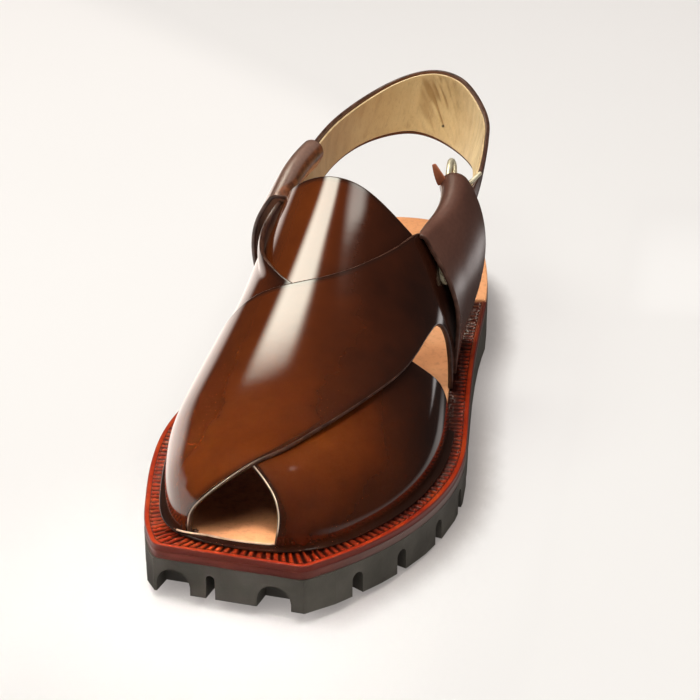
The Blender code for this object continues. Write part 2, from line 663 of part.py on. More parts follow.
def make_outsole(collection, cutters, rubber):
    top = below_welt(MIDSOLE_BASE + LAYER_GAP)
    outsole = slab("outsole", sole_plan(), outsole_base, top, collection, rubber)
    path = sole_outline()
    floor_at = outsole_base(np.array([TOE_CORNER_LATERAL]) - [[0.0, 0.5]])[0]
    for index, (station, side) in enumerate(SIDE_NOTCHES):
        edge = np.array([side_x(path, side, station), station])
        away = outward_of(path, edge)
        base = outsole_base(edge[None])[0]
        start = to_model([*(edge + away * CUT_PAST), base])
        cut = arch_cutter(f"side_notch_{index}", start, (-away[0], away[1]), NOTCH_WIDTH, TREAD_DEPTH,
                          NOTCH_REACH + CUT_PAST, cutters)
        combine(outsole, cut, "DIFFERENCE")
    lateral = np.array(TOE_CORNER_LATERAL)
    medial = np.array(TOE_CORNER_MEDIAL)
    along = medial - lateral
    away = np.array([-along[1], along[0]]) / -np.linalg.norm(along)
    for index, (share, width) in enumerate(TOE_NOTCHES):
        edge = lateral + along * share
        start = to_model([*(edge + away * CUT_PAST), floor_at])
        cut = arch_cutter(f"toe_notch_{index}", start, (-away[0], away[1]), width, TREAD_DEPTH,
                          NOTCH_REACH + CUT_PAST, cutters)
        combine(outsole, cut, "DIFFERENCE")
    for index, (lateral_station, medial_station) in enumerate(TREAD_GROOVES):
        start = np.array([side_x(path, 1, lateral_station) + GROOVE_PAST, lateral_station])
        end = np.array([side_x(path, -1, medial_station) - GROOVE_PAST, medial_station])
        run = end - start
        base = outsole_base(start[None])[0]
        cut = arch_cutter(f"tread_groove_{index}", to_model([*start, base]), (run[0], -run[1]), GROOVE_WIDTH,
                          GROOVE_DEPTH, np.linalg.norm(run), cutters)
        combine(outsole, cut, "DIFFERENCE")
    return outsole


# ---------------------------------------------------------------- the upper
STRAP_ROWS = 38              # grid rows along a crossed strap, and columns from its front to its rear edge
STRAP_COLUMNS = 13
TONGUE_GRID = 12
FLANGE_ROWS = 60
LEG_ROWS = 10                # grid rows up a side strap, round its fold and down its tail
FOLD_ROWS = 8
TAIL_ROWS = 3
LEG_COLUMNS = 6


def crossed_strap_pattern(last, front, rear):
    """Pattern grid of a crossed strap: rows from its toe end to its leg, columns from front to rear."""
    front = smooth_path(front, STRAP_ROWS)
    rear = smooth_path(rear, STRAP_ROWS)
    start = last.feather_between(front[0], rear[0], STRAP_COLUMNS)
    end = last.feather_between(front[-1], rear[-1], STRAP_COLUMNS)
    return patch(start, end, front, rear)


def tongue_pattern():
    bottom, top = [smooth_path(path, TONGUE_GRID) for path in (TONGUE_BOTTOM, TONGUE_TOP)]
    left, right = [smooth_path(path[::-1], TONGUE_GRID) for path in (TONGUE_LEFT, TONGUE_RIGHT)]
    return patch(left, right, bottom, top)


def flange_grid(last):
    """The upper's turned-out foot: inner and outer edge along the feather line."""
    path = last.feather_between(np.array(UNDER_STRAP_REAR[0]), np.array(OVER_STRAP_REAR[0]), FLANGE_ROWS)
    along = np.gradient(path, axis=0)
    along /= np.linalg.norm(along, axis=1, keepdims=True)
    away = np.stack([along[:, 1], -along[:, 0]], axis=-1)
    middle = last.outline.mean(axis=0)
    if np.sum((path - middle) * away) < 0.0:
        away = -away
    rows = [path + away * reach for reach in (0.0, 0.5 * FLANGE_WIDTH, FLANGE_WIDTH)]
    plan = np.stack(rows, axis=1)
    return np.concatenate([plan, (welt_top(plan[..., 1]) + SEAT)[..., None]], axis=-1)


def side_strap_grid(last, edges, lift, swell, fold):
    """A side strap's inner face: up the last, round the fold and down the tail behind it."""
    front_edge, rear_edge = [smooth_path(edge, LEG_ROWS) for edge in edges]
    foot = spread(np.stack([front_edge[0], rear_edge[0]]), LEG_COLUMNS)
    top = spread(np.stack([front_edge[-1], rear_edge[-1]]), LEG_COLUMNS)
    pattern = patch(foot, top, front_edge, rear_edge)
    share = np.linspace(0.0, 1.0, LEG_COLUMNS)
    stand = np.interp(share, (0.0, 0.5, 1.0), lift)[None, :]
    swollen = np.sin(np.linspace(0.0, np.pi, LEG_ROWS))[:, None] * (1.0 - REAR_CALM * share)[None, :]
    leg = last.drape(pattern, stand + swell * swollen, SIDE_FOOT)
    girth, angle, _ = last.unfold(pattern[-1])
    rise = leg[-1] - leg[-2]
    rise /= np.linalg.norm(rise, axis=-1, keepdims=True)
    away = last.normal(girth, angle)
    away -= rise * np.sum(away * rise, axis=-1, keepdims=True)
    away /= np.linalg.norm(away, axis=-1, keepdims=True)
    radius = (fold[0][0] + (fold[1][0] - fold[0][0]) * share)[:, None]
    tail = (fold[0][1] + (fold[1][1] - fold[0][1]) * share)[:, None]
    rows = list(leg)
    for step in range(1, FOLD_ROWS + 1):
        turn = math.pi * step / FOLD_ROWS
        rows.append(leg[-1] + radius * (rise * math.sin(turn) - away * (1.0 - math.cos(turn))))
    fold_end = rows[-1]
    for step in range(1, TAIL_ROWS + 1):
        rows.append(fold_end - rise * tail * step / TAIL_ROWS)
    return np.array(rows)


def make_upper(collection, cutters, leather):
    """One solid of the crossed straps, the tongue, the turned-out foot and the two side straps."""
    last = Last()
    over = last.drape(crossed_strap_pattern(last, OVER_STRAP_FRONT, OVER_STRAP_REAR), OVER_LIFT)
    under = last.drape(crossed_strap_pattern(last, UNDER_STRAP_FRONT, UNDER_STRAP_REAR), UNDER_LIFT)
    tongue = last.drape(tongue_pattern(), TONGUE_LIFT)
    lateral_edges = (LATERAL_STRAP_FRONT, LATERAL_STRAP_REAR)
    lateral = side_strap_grid(last, lateral_edges, LATERAL_LIFT, 0.0, LATERAL_FOLD)
    medial_edges = (MEDIAL_STRAP_FRONT, MEDIAL_STRAP_REAR)
    medial = side_strap_grid(last, medial_edges, MEDIAL_LIFT, MEDIAL_SWELL, MEDIAL_FOLD)
    upper = sheet("upper", over, LEATHER, collection, leather)
    pieces = [
        sheet("under_strap", under, LEATHER, cutters, flip=True),
        sheet("tongue", tongue, TONGUE_LEATHER, cutters),
        sheet("flange", flange_grid(last), FLANGE_THICKNESS, cutters),
        sheet("lateral_side_strap", lateral, SIDE_LEATHER, cutters, flip=True),
        sheet("medial_side_strap", medial, SIDE_LEATHER, cutters),
    ]
    for piece in pieces:
        combine(upper, piece, "UNION")
    return upper


# ---------------------------------------------------------------- back strap and buckle
def back_strap_grid():
    """The back strap's outer face, from its lateral end round the heel to its medial end."""
    rows = np.array(BACK_STRAP)
    low = smooth_path(rows[:, :3], BACK_STRAP_ROWS)
    high = smooth_path(rows[:, 3:], BACK_STRAP_ROWS)
    return np.stack([low + (high - low) * share for share in (0.0, 0.5, 1.0)], axis=1)


def buckle_path():
    """The buckle's closed wire: two long bars joined by a round end in front and one behind."""
    (front, front_half), (rear, rear_half) = [np.array(end) for end in (BUCKLE_FRONT, BUCKLE_REAR)]
    points = []
    for step in range(BUCKLE_POINTS):
        turn = 2.0 * math.pi * step / BUCKLE_POINTS
        along = 0.5 - 0.5 * math.copysign(abs(math.cos(turn)) ** BUCKLE_ALONG, math.cos(turn))
        across = math.copysign(abs(math.sin(turn)) ** BUCKLE_ACROSS, math.sin(turn))
        middle = front + (rear - front) * along
        points.append(middle + (front_half + (rear_half - front_half) * along) * across)
    return np.array(points)


def main():
    for thing in list(bpy.data.objects):
        bpy.data.objects.remove(thing, do_unlink=True)
    shoe = bpy.data.collections.new("norozi_chappal")
    cutters = bpy.data.collections.new("cutters")
    for collection in (shoe, cutters):
        bpy.context.scene.collection.children.link(collection)

    rubber = material("outsole_rubber", (0.065, 0.058, 0.048), 0.6)
    red_edge = material("midsole_red", (0.42, 0.06, 0.03), 0.45)
    welt_leather = material("welt_leather", (0.40, 0.085, 0.03), 0.4)
    tan = material("insole_leather", (0.78, 0.42, 0.22), 0.65)
    brown = material("upper_leather", (0.09, 0.028, 0.012), 0.22)
    strap_brown = material("back_strap_leather", (0.13, 0.06, 0.035), 0.45)
    brass = material("buckle_brass", (0.80, 0.72, 0.52), 0.3, 1.0)

    make_outsole(shoe, cutters, rubber)
    slab("midsole", sole_plan(), below_welt(MIDSOLE_BASE), below_welt(MIDSOLE_TOP), shoe, red_edge)
    slab("welt", welt_plan(), below_welt(WELT_BASE), below_welt(0.0), shoe, welt_leather)
    slab("insole", insole_plan(), below_welt(WELT_BASE), below_welt(-INSOLE_RISE), shoe, tan)
    make_upper(shoe, cutters, brown)
    sheet("back_strap", back_strap_grid(), BACK_STRAP_THICKNESS, shoe, strap_brown, outward=False)
    wire("buckle_frame", buckle_path(), BUCKLE_WIRE, True, shoe, brass)
    wire("buckle_prong", smooth_path(PRONG, PRONG_POINTS), PRONG_WIRE, False, shoe, brass)


if __name__ == "__main__":
    main()
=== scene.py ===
"""Looks of the norozi chappal: detailed leather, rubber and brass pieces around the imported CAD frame.

The pieces follow the same last, patterns and outlines as the CAD part, in millimetres, with the toe
towards -Y, the outer (lateral) side towards +X and +Z up. A "station" is the distance from the back of
the heel towards the toe. A plate's points also carry "lay": how far along and across the leather each
one is, and how far from its nearest long edge, for the materials.
"""
import math

import bpy
import bmesh
import numpy as np
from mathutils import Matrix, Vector


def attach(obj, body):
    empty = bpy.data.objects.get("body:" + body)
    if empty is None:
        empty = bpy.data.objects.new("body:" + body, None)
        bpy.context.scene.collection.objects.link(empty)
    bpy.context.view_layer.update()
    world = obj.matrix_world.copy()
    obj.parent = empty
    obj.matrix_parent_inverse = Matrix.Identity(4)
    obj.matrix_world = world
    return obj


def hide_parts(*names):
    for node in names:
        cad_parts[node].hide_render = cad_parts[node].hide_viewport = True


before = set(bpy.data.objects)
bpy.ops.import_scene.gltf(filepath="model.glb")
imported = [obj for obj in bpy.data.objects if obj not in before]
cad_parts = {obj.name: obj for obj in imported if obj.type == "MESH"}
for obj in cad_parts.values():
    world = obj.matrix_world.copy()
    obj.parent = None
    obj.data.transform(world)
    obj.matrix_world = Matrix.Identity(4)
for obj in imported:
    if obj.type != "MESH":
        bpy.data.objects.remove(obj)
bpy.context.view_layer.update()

MM = 0.001

# ---------------------------------------------------------------- driving dimensions
SHOE_LENGTH = 286.0          # heel to the outer toe corner's plane
CENTRE_X = -1.05             # middle of the shoe's width, moved to X = 0
CENTRE_STATION = 141.15      # middle of the shoe's length, moved to Y = 0

WELT_HEIGHT = 16.5           # top of the welt above the floor at the ball
HEEL_RISE = 4.0              # how much higher the welt is at the heel
TOE_SPRING = 4.5             # how much higher the welt is at the toe
HEEL_STATION = 60.0
BALL_STATION = 175.0
SPRING_STATION = 205.0

FEATHER_INSET = 8.5          # sole edge to the foot of the upper
WELT_INNER_INSET = 9.0
INSOLE_INSET = 8.1
FOOTBED_INSET = 0.5          # sole edge to the footbed's edge, behind the welt's end
WELT_END = 78.0              # the welt stops here and the footbed runs on to the sole's edge

LEATHER = 1.8
SEAT = 0.3                   # a strap's foot stands this far outside the feather line
FOOT = 0.9                   # and this far above the welt

# sole outline: station, lateral x, medial x
SOLE = np.array([
    (0.0, 9.0, -10.0),
    (4.0, 18.0, -20.0),
    (14.0, 28.5, -30.5),
    (28.0, 34.5, -35.5),
    (46.0, 38.5, -36.0),
    (72.0, 42.0, -33.0),
    (100.0, 43.0, -31.0),
    (129.0, 44.5, -34.5),
    (157.0, 47.0, -43.5),
    (180.0, 49.5, -51.5),
    (200.0, 51.0, -53.0),
    (223.0, 48.0, -50.5),
    (246.0, 40.0, -45.5),
    (266.0, 28.5, -40.0),
])
HEEL_BACK = (-0.5, -1.2)
TOE_CORNER_LATERAL = (14.5, 283.5)
TOE_CORNER_MEDIAL = (-34.0, 278.0)

# last: station, ridge x, ridge height, lateral bulge, medial bulge, lateral fullness, medial fullness
LAST = np.array([
    (92.0, -2.0, 78.0, 10.0, 4.0, 2.0, 2.0),
    (112.0, -3.0, 83.5, 9.0, 5.5, 2.0, 2.0),
    (132.0, -4.0, 77.0, 1.4, 4.5, 2.0, 2.0),
    (152.0, -5.0, 66.0, 0.2, 2.2, 2.0, 2.0),
    (172.0, -6.0, 56.0, 0.0, -2.0, 2.0, 2.0),
    (192.0, -7.0, 46.5, 0.0, -3.4, 2.0, 2.0),
    (212.0, -9.0, 38.5, 0.0, -2.0, 2.1, 2.0),
    (232.0, -11.0, 31.5, 0.0, 0.0, 2.2, 2.15),
    (257.0, -13.0, 24.0, 0.0, 0.0, 2.3, 2.4),
])
LAST_BACK = 92.0             # rearmost station of the last that carries a strap
FAN_STATION = 225.0          # in front of this the sections fan round the toe
TIP_STATION = 257.0          # front end of the ridge
TOE_CENTRE_X = -11.0
LAST_SMOOTHING = 14          # how many half-millimetre rows either side are averaged
BULGE_GAIN = 2.6             # swell of the last's wall for each millimetre of its bulge
LAST_INSIDE = (-5.0, -8.0, 5.0)     # inside the last: x, from a section's station, and over the welt's top
HALVINGS = 40                # steps of the search for a pattern point's section

# pattern of the upper: (x, station) along each edge, from the strap's toe end to its leg
OVER_STRAP_FRONT = [
    (-24.0, 270.2), (-25.2, 268.9), (-24.8, 267.2), (-19.0, 266.4), (-11.8, 264.2), (-6.2, 259.6),
    (-0.8, 249.4), (5.3, 236.2), (11.2, 221.9), (16.0, 208.6), (19.6, 193.0), (22.0, 177.5),
    (24.0, 165.0), (28.0, 155.5), (32.0, 151.5), (38.6, 150.0),
]
OVER_STRAP_REAR = [
    (-42.8, 180.0), (-33.0, 184.5), (-25.0, 186.6), (-18.5, 186.6), (-12.5, 187.0), (-7.3, 185.6),
    (-0.6, 180.5), (6.0, 169.8), (11.0, 156.8), (14.6, 143.6), (19.0, 134.0), (26.0, 127.5), (36.0, 124.0),
]
UNDER_STRAP_FRONT = [
    (3.2, 272.0), (1.8, 268.4), (-5.3, 263.6), (-10.5, 260.0), (-18.0, 246.0), (-23.0, 221.0),
    (-26.4, 192.0), (-26.6, 168.0), (-27.4, 158.0), (-29.2, 151.0), (-30.4, 146.0),
]
UNDER_STRAP_REAR = [
    (41.0, 178.0), (34.0, 181.2), (30.0, 185.0), (24.0, 192.0), (18.3, 195.8), (10.0, 197.0), (2.0, 193.0),
    (-5.0, 188.0), (-9.2, 184.6), (-13.2, 177.0), (-16.0, 167.5), (-17.0, 154.5), (-16.4, 140.0),
    (-14.8, 131.0), (-15.6, 124.0), (-19.0, 119.0), (-23.2, 116.0),
]
TONGUE_TOP = [
    (-14.6, 129.0), (-11.0, 137.6), (-8.2, 140.5), (-5.0, 141.6), (0.0, 142.2), (5.0, 144.0), (10.0, 145.5),
    (15.0, 145.0), (19.0, 143.5),
]
TONGUE_BOTTOM = [(-16.0, 178.0), (-10.0, 192.0), (-2.0, 198.0), (8.0, 193.0), (17.0, 172.0)]
TONGUE_LEFT = [(-14.6, 129.0), (-18.5, 145.0), (-18.5, 162.0), (-16.0, 178.0)]
TONGUE_RIGHT = [(19.0, 143.5), (20.5, 155.0), (17.0, 172.0)]

# how far each layer's inner face stands off the last where the layers are stacked
TONGUE_LIFT = 0.2
UNDER_LIFT = 1.2
OVER_LIFT = 2.2
LIFT_SHARE = 0.45            # a layer reaches its full lift at this share of the way from feather to ridge


# ---------------------------------------------------------------- curves and outlines
SAMPLES_PER_POINT = 40       # how densely a path is traced before it is spaced out
PATH_SMOOTHING = 12
INSET_SOFTENING = 12         # rounds that average out the corners of an inset outline
INSET_SLACK = 0.15
CROWD = 0.75                 # how strongly grid lines gather at the leathers' edges


def smoothstep(value):
    value = np.clip(value, 0.0, 1.0)
    return value * value * (3.0 - 2.0 * value)


def fade(value, start, run):
    """0 up to the start and 1 from a run past it, smooth between; a negative run goes the other way."""
    return smoothstep((value - start) / run)


def unit(vectors):
    return vectors / (np.linalg.norm(vectors, axis=-1, keepdims=True) + 1e-12)


def lengths_along(points):
    """Distance from the first point to each point of a path."""
    steps = np.linalg.norm(np.diff(points, axis=0), axis=1)
    return np.concatenate([[0.0], np.cumsum(steps)])


def through(value, knots, heights):
    """Smooth curve through a table's rows, held level past both ends."""
    value = np.clip(value, knots[0], knots[-1])
    span = np.diff(knots)
    slope = np.diff(heights) / span
    inner = (slope[:-1] * span[1:] + slope[1:] * span[:-1]) / (span[1:] + span[:-1])
    tangent = np.concatenate([[slope[0]], inner, [slope[-1]]])
    row = np.clip(np.searchsorted(knots, value, side="right") - 1, 0, len(span) - 1)
    t = (value - knots[row]) / span[row]
    rise = t * t * (3.0 - 2.0 * t)
    leave = t * (1.0 - t) ** 2 * span[row] * tangent[row]
    arrive = t * t * (t - 1.0) * span[row] * tangent[row + 1]
    return heights[row] * (1.0 - rise) + heights[row + 1] * rise + leave + arrive


def interpolated(places, knots, rows):
    """A table's rows at places between its knots."""
    return np.stack([np.interp(places, knots, rows[:, k]) for k in range(rows.shape[1])], axis=-1)


def even(count, crowd=0.0):
    """Shares from 0 to 1; the crowd is how strongly they gather at both ends."""
    step = np.linspace(0.0, 1.0, count)
    return (1.0 - crowd) * step + crowd * (0.5 - 0.5 * np.cos(np.pi * step))


def smooth_path(points, count, crowd=0.0):
    """A smooth open path through the points."""
    points = np.array(points, dtype=float)
    knots = lengths_along(points)
    dense = np.linspace(0.0, knots[-1], SAMPLES_PER_POINT * len(points))
    path = np.stack([through(dense, knots, points[:, k]) for k in range(points.shape[1])], axis=-1)
    return spread(average(path, PATH_SMOOTHING), count, crowd)


def average(values, reach):
    """Each row averaged with its neighbours, twice, with both ends held."""
    width = 2 * reach + 1
    for _ in range(2):
        ends = [2.0 * values[:1] - values[reach:0:-1], values, 2.0 * values[-1:] - values[-2:-reach - 2:-1]]
        padded = np.concatenate(ends)
        total = np.cumsum(np.concatenate([np.zeros_like(padded[:1]), padded]), axis=0)
        values = (total[width:] - total[:-width]) / width
    return values


def spread(path, count, crowd=0.0):
    """The same open path with evenly spaced or crowded points."""
    knots = lengths_along(path)
    return interpolated(knots[-1] * even(count, crowd), knots, path)


def close_spread(path, step):
    """A closed path with evenly spaced points about a step apart."""
    loop = np.concatenate([path, path[:1]])
    count = int(round(lengths_along(loop)[-1] / step))
    return spread(loop, count + 1)[:-1]


def soften(path, reach):
    """Round a closed path's corners by averaging each point with its neighbours, twice."""
    for _ in range(2):
        path = np.mean([np.roll(path, shift, axis=0) for shift in range(-reach, reach + 1)], axis=0)
    return path


def inset(path, distance):
    """A closed path moved inwards, without the loops that this makes at its corners."""
    along = np.roll(path, -1, axis=0) - np.roll(path, 1, axis=0)
    along /= np.linalg.norm(along, axis=1, keepdims=True)
    inward = np.stack([-along[:, 1], along[:, 0]], axis=-1)
    turned = np.sum(path[:, 0] * np.roll(path[:, 1], -1) - np.roll(path[:, 0], -1) * path[:, 1])
    moved = path + inward * distance * math.copysign(1.0, turned)
    nearest = np.min(np.linalg.norm(moved[:, None] - path[None], axis=2), axis=1)
    return close_spread(moved[nearest >= distance - INSET_SLACK], 1.0)


def sole_side(column):
    """One side of the sole as (x, station), from the heel to the toe corner."""
    corner = TOE_CORNER_LATERAL if column == 1 else TOE_CORNER_MEDIAL
    return [(row[column], row[0]) for row in SOLE] + [corner]


def sole_outline():
    path = sole_side(2)[::-1] + [HEEL_BACK] + sole_side(1)
    return soften(close_spread(smooth_path(path, 800), 1.0), 2)


def side_x(path, side, station):
    """Where a closed outline's lateral (+1) or medial (-1) side is at a station."""
    centre = np.where(path[:, 1] > SPRING_STATION, TOE_CENTRE_X, 0.0)
    part = path[(path[:, 0] - centre) * side > 0.0]
    part = part[np.argsort(part[:, 1])]
    return np.interp(station, part[:, 1], part[:, 0])


def welt_top(station):
    heel = HEEL_RISE * (1.0 - fade(station, HEEL_STATION, BALL_STATION - HEEL_STATION))
    toe = np.clip((station - SPRING_STATION) / (SHOE_LENGTH - SPRING_STATION), 0.0, 1.2)
    return WELT_HEIGHT + heel + TOE_SPRING * toe**2


def raised(plan, height):
    """Points at a height over each point of the plan."""
    return np.concatenate([plan, height[..., None]], axis=-1)


def away_from(middle, path, along):
    """Level unit normals of a path, on the side away from its middle."""
    along = unit(along)
    away = np.stack([along[:, 1], -along[:, 0]], axis=-1)
    return away * np.sign(np.sum((path - middle) * away))


def patch(start, end, front, rear, crowd=(0.0, 0.0)):
    """Points filling the area between four paths that share corners.

    Start and end run from front to rear, and front and rear run from start to end. Straight rungs join
    front to rear, bent towards the start and end paths near them. The crowd is that of the rungs and of
    the points along each.
    """
    u = even(len(front), crowd[0])[:, None, None]
    v = even(len(start), crowd[1])[None, :, None]
    rungs = (1.0 - v) * front[:, None] + v * rear[:, None]
    return rungs + (start - rungs[0]) * (1.0 - u) ** 3 + (end - rungs[-1]) * u**3


# ---------------------------------------------------------------- the last
class Last:
    """The foot form: superelliptic walls from the feather line up to the ridge, fanned round the toe."""

    SAMPLES = 401

    def __init__(self):
        self.outline = soften(inset(sole_outline(), FEATHER_INSET), INSET_SOFTENING)
        front = np.where(self.outline[:, 1] > SPRING_STATION, np.abs(self.outline[:, 0] - TOE_CENTRE_X), 1e3)
        path = np.roll(self.outline, -int(np.argmin(front)), axis=0)
        if path[5, 0] < path[0, 0]:
            path = np.roll(path[::-1], 1, axis=0)
        self.lateral = self.half(path)
        self.medial = self.half(np.roll(path[::-1], 1, axis=0))
        self.share = np.linspace(0.0, 1.0, self.SAMPLES)
        self.girth = (self.lateral[:, 1] + self.medial[:, 1]) / 2.0
        self.front = self.girth[-1]
        self.stations = np.arange(LAST[0, 0], LAST[-1, 0] + 0.5, 0.5)
        rows = np.stack([through(self.stations, LAST[:, 0], LAST[:, k]) for k in range(1, 7)], axis=-1)
        self.rows = average(rows, LAST_SMOOTHING)

    def at(self, station, column):
        """One of the last's measures at a station: ridge x, height, bulges, fullnesses."""
        return np.interp(station, self.stations, self.rows[:, column])

    def half(self, path):
        """The feather line from the rearmost station to the toe's centre, evenly spaced."""
        stop = int(np.argmax(path[:, 1] < LAST_BACK))
        return spread(path[:stop + 1][::-1], self.SAMPLES)

    def section(self, girth, lateral):
        """Feather point and ridge point of a section, each as x and station."""
        share = np.interp(girth, self.girth, self.share)
        feather = np.where(lateral[..., None], *[interpolated(share, self.share, half)
                                                 for half in (self.lateral, self.medial)])
        turn = np.clip((girth - FAN_STATION) / (self.front - FAN_STATION), 0.0, 1.0)
        fanned = FAN_STATION + (TIP_STATION - FAN_STATION) * np.sin(0.5 * np.pi * turn)
        station = np.where(girth < FAN_STATION, girth, fanned)
        ridge = np.stack([self.at(station, 0), station], axis=-1)
        return feather, ridge

    def surface(self, girth, angle):
        """Points on the last; the angle runs from 0 at the lateral feather to pi at the medial one."""
        lateral = angle <= 0.5 * np.pi
        feather, ridge = self.section(girth, lateral)
        height, bulge_lateral, bulge_medial, full_lateral, full_medial = [
            self.at(ridge[..., 1], column) for column in range(1, 6)]
        power = 2.0 / np.where(lateral, full_lateral, full_medial)
        bulge = np.where(lateral, bulge_lateral, bulge_medial)
        across = np.abs(np.cos(angle))
        inward = ridge - feather
        away = -inward / (np.linalg.norm(inward, axis=-1, keepdims=True) + 1e-9)
        swell = bulge * BULGE_GAIN * np.sin(angle) * across**2
        plan = feather + inward * (1.0 - across**power)[..., None] + away * swell[..., None]
        top = welt_top(plan[..., 1]) + FOOT + height * np.abs(np.sin(angle)) ** power
        return raised(plan, top)

    def normal(self, girth, angle):
        """Outward unit normals."""
        low, high = [np.clip(angle + turn, 1e-4, np.pi - 1e-4) for turn in (-0.01, 0.01)]
        back, ahead = [np.clip(girth + step, LAST_BACK + 0.1, self.front - 0.01) for step in (-0.5, 0.5)]
        over = self.surface(girth, high) - self.surface(girth, low)
        along = self.surface(ahead, angle) - self.surface(back, angle)
        facing = unit(np.cross(over, along))
        here = self.surface(girth, angle)
        x, behind, up = LAST_INSIDE
        inside = [np.full_like(girth, x), np.minimum(girth, TIP_STATION) + behind, welt_top(girth) + up]
        inside = np.stack(inside, axis=-1)
        away = np.sign(np.sum((here - inside) * facing, axis=-1, keepdims=True))
        return facing * away

    def unfold(self, pattern):
        """Section and angle of each point of the flat pattern."""
        x = pattern[..., 0]
        station = pattern[..., 1]
        tip_x = self.rows[-1, 0]
        toe = self.lateral[-1]
        past = (station - TIP_STATION) / (toe[1] - TIP_STATION)
        ridge_x = np.where(station < TIP_STATION, self.at(station, 0), tip_x + past * (toe[0] - tip_x))
        lateral = x >= ridge_x
        low = np.zeros_like(x)
        high = np.ones_like(x)
        for _ in range(HALVINGS):
            middle = 0.5 * (low + high)
            feather, ridge = self.section(np.interp(middle, self.share, self.girth), lateral)
            run = ridge - feather
            turn = run[..., 0] * (station - feather[..., 1]) - run[..., 1] * (x - feather[..., 0])
            ahead = np.where(lateral, -turn, turn) > 0.0
            low = np.where(ahead, middle, low)
            high = np.where(ahead, high, middle)
        girth = np.interp(0.5 * (low + high), self.share, self.girth)
        feather, ridge = self.section(girth, lateral)
        run = ridge - feather
        offset = pattern - feather
        climb = np.clip(np.sum(offset * run, axis=-1) / (np.sum(run**2, axis=-1) + 1e-12), 0.0, 1.0)
        angle = climb * 0.5 * np.pi
        return girth, np.where(lateral, angle, np.pi - angle), climb

    def drape(self, pattern, lift, foot=SEAT, extra=0.0):
        """Lay the pattern on the last, its inner face standing off from the foot's amount to the lift."""
        girth, angle, climb = self.unfold(pattern)
        stand = foot + (lift - foot) * smoothstep(climb / LIFT_SHARE) + extra
        return self.surface(girth, angle) + self.normal(girth, angle) * stand[..., None]

    def feather_between(self, start, end, count, crowd=0.0):
        """The feather line's shorter way between two pattern points on it."""
        first, last = [int(np.argmin(np.linalg.norm(self.outline - point, axis=1)))
                       for point in (start, end)]
        size = len(self.outline)
        ahead = (last - first) % size
        step = 1 if ahead < size - ahead else -1
        places = [(first + step * k) % size for k in range(1, min(ahead, size - ahead))]
        return spread(np.concatenate([[start], self.outline[places], [end]]), count, crowd)


# ---------------------------------------------------------------- side straps, back strap and buckle
SIDE_LEATHER = 1.6
SIDE_FOOT = 1.1              # the side straps' feet stand outside the legs that they cover

# side straps. Front, rear: edges on the pattern, from the sole to the fold. Lift: inner face off the last at
# the front edge, halfway and at the rear edge. Swell: how much further it stands off halfway up its front
# edge. Sag: how far the fold's middle is moved sideways. Droop: how much nearer its front edge hangs to the
# last. Fold: inner radius and length of the tail behind it, at the front edge and at the rear edge.
SIDE_STRAPS = {
    "lateral_side_strap": {
        "front": [(36.8, 138.5), (29.5, 145.0), (22.0, 148.5), (15.2, 146.0)],
        "rear": [(34.6, 111.0), (28.0, 110.5), (21.6, 110.5), (16.2, 110.5)],
        "lift": (9.3, 8.6, 6.1), "swell": 0.0, "sag": 1.6, "droop": 4.0, "fold": [(0.8, 0.4), (4.3, 3.6)],
    },
    "medial_side_strap": {
        "front": [(-26.2, 131.0), (-22.0, 130.5), (-18.0, 130.0), (-15.0, 130.0)],
        "rear": [(-22.4, 103.0), (-18.4, 102.0), (-14.6, 101.0), (-11.0, 101.0)],
        "lift": (6.0, 5.8, 5.0), "swell": 4.2, "sag": 0.0, "droop": 0.0, "fold": [(2.4, 5.0), (2.8, 4.0)],
    },
}

# back strap's outer face: lower edge x, station, height; upper edge x, station, height
BACK_STRAP = [
    (38.0, 116.0, 62.0, 37.4, 116.0, 69.0),
    (38.2, 107.0, 63.2, 38.6, 107.0, 73.6),
    (38.8, 96.0, 65.5, 41.0, 96.0, 78.3),
    (37.6, 80.0, 67.2, 41.0, 80.0, 80.3),
    (35.4, 62.0, 65.5, 39.6, 62.0, 81.0),
    (32.6, 45.0, 61.5, 37.4, 44.0, 81.2),
    (29.5, 30.0, 57.8, 33.6, 30.0, 82.2),
    (25.5, 18.0, 56.2, 28.2, 18.5, 84.8),
    (19.0, 9.3, 57.0, 20.8, 8.0, 87.0),
    (10.0, 4.0, 59.2, 10.5, 1.8, 87.3),
    (1.0, 2.6, 60.4, 1.0, 0.2, 85.0),
    (-8.5, 4.8, 59.5, -8.8, 3.0, 81.4),
    (-16.6, 10.6, 58.2, -16.4, 9.4, 78.0),
    (-22.6, 20.0, 57.0, -22.8, 20.5, 75.4),
    (-26.6, 33.0, 56.0, -27.2, 34.0, 73.7),
    (-28.2, 50.0, 56.0, -29.2, 50.0, 73.0),
    (-27.6, 65.0, 58.0, -28.6, 66.0, 74.8),
    (-25.6, 80.0, 62.0, -26.0, 81.0, 78.6),
    (-23.8, 92.0, 66.0, -23.6, 92.0, 82.0),
    (-25.2, 104.0, 71.0, -23.6, 104.0, 81.6),
]

BUCKLE_WIRE = 2.2
# buckle: middle of its front end and of its rear end, and half its width at each, as x, station, height
BUCKLE_FRONT = ((35.6, 147.2, 57.6), (-1.5, -0.6, 2.9))
BUCKLE_REAR = ((30.6, 97.0, 84.0), (-0.9, 0.7, 1.2))
PRONG = [(35.0, 107.0, 76.6), (37.8, 104.5, 78.0), (41.4, 99.5, 80.6)]
PRONG_WIRE = 2.0
BUCKLE_ENDS = 0.35           # powers of the cosine and the sine: how square the wire's loop is
BUCKLE_SIDES = 0.75


# ---------------------------------------------------------------- mesh making
SHARP_ANGLE = math.radians(50.0)
EDGE_STEPS = 6               # how many strips a rounded cut edge has
WIRE_SIDES = 14
WIRE_UP = (0.31, 0.24, 0.92)    # a direction that no wire runs in


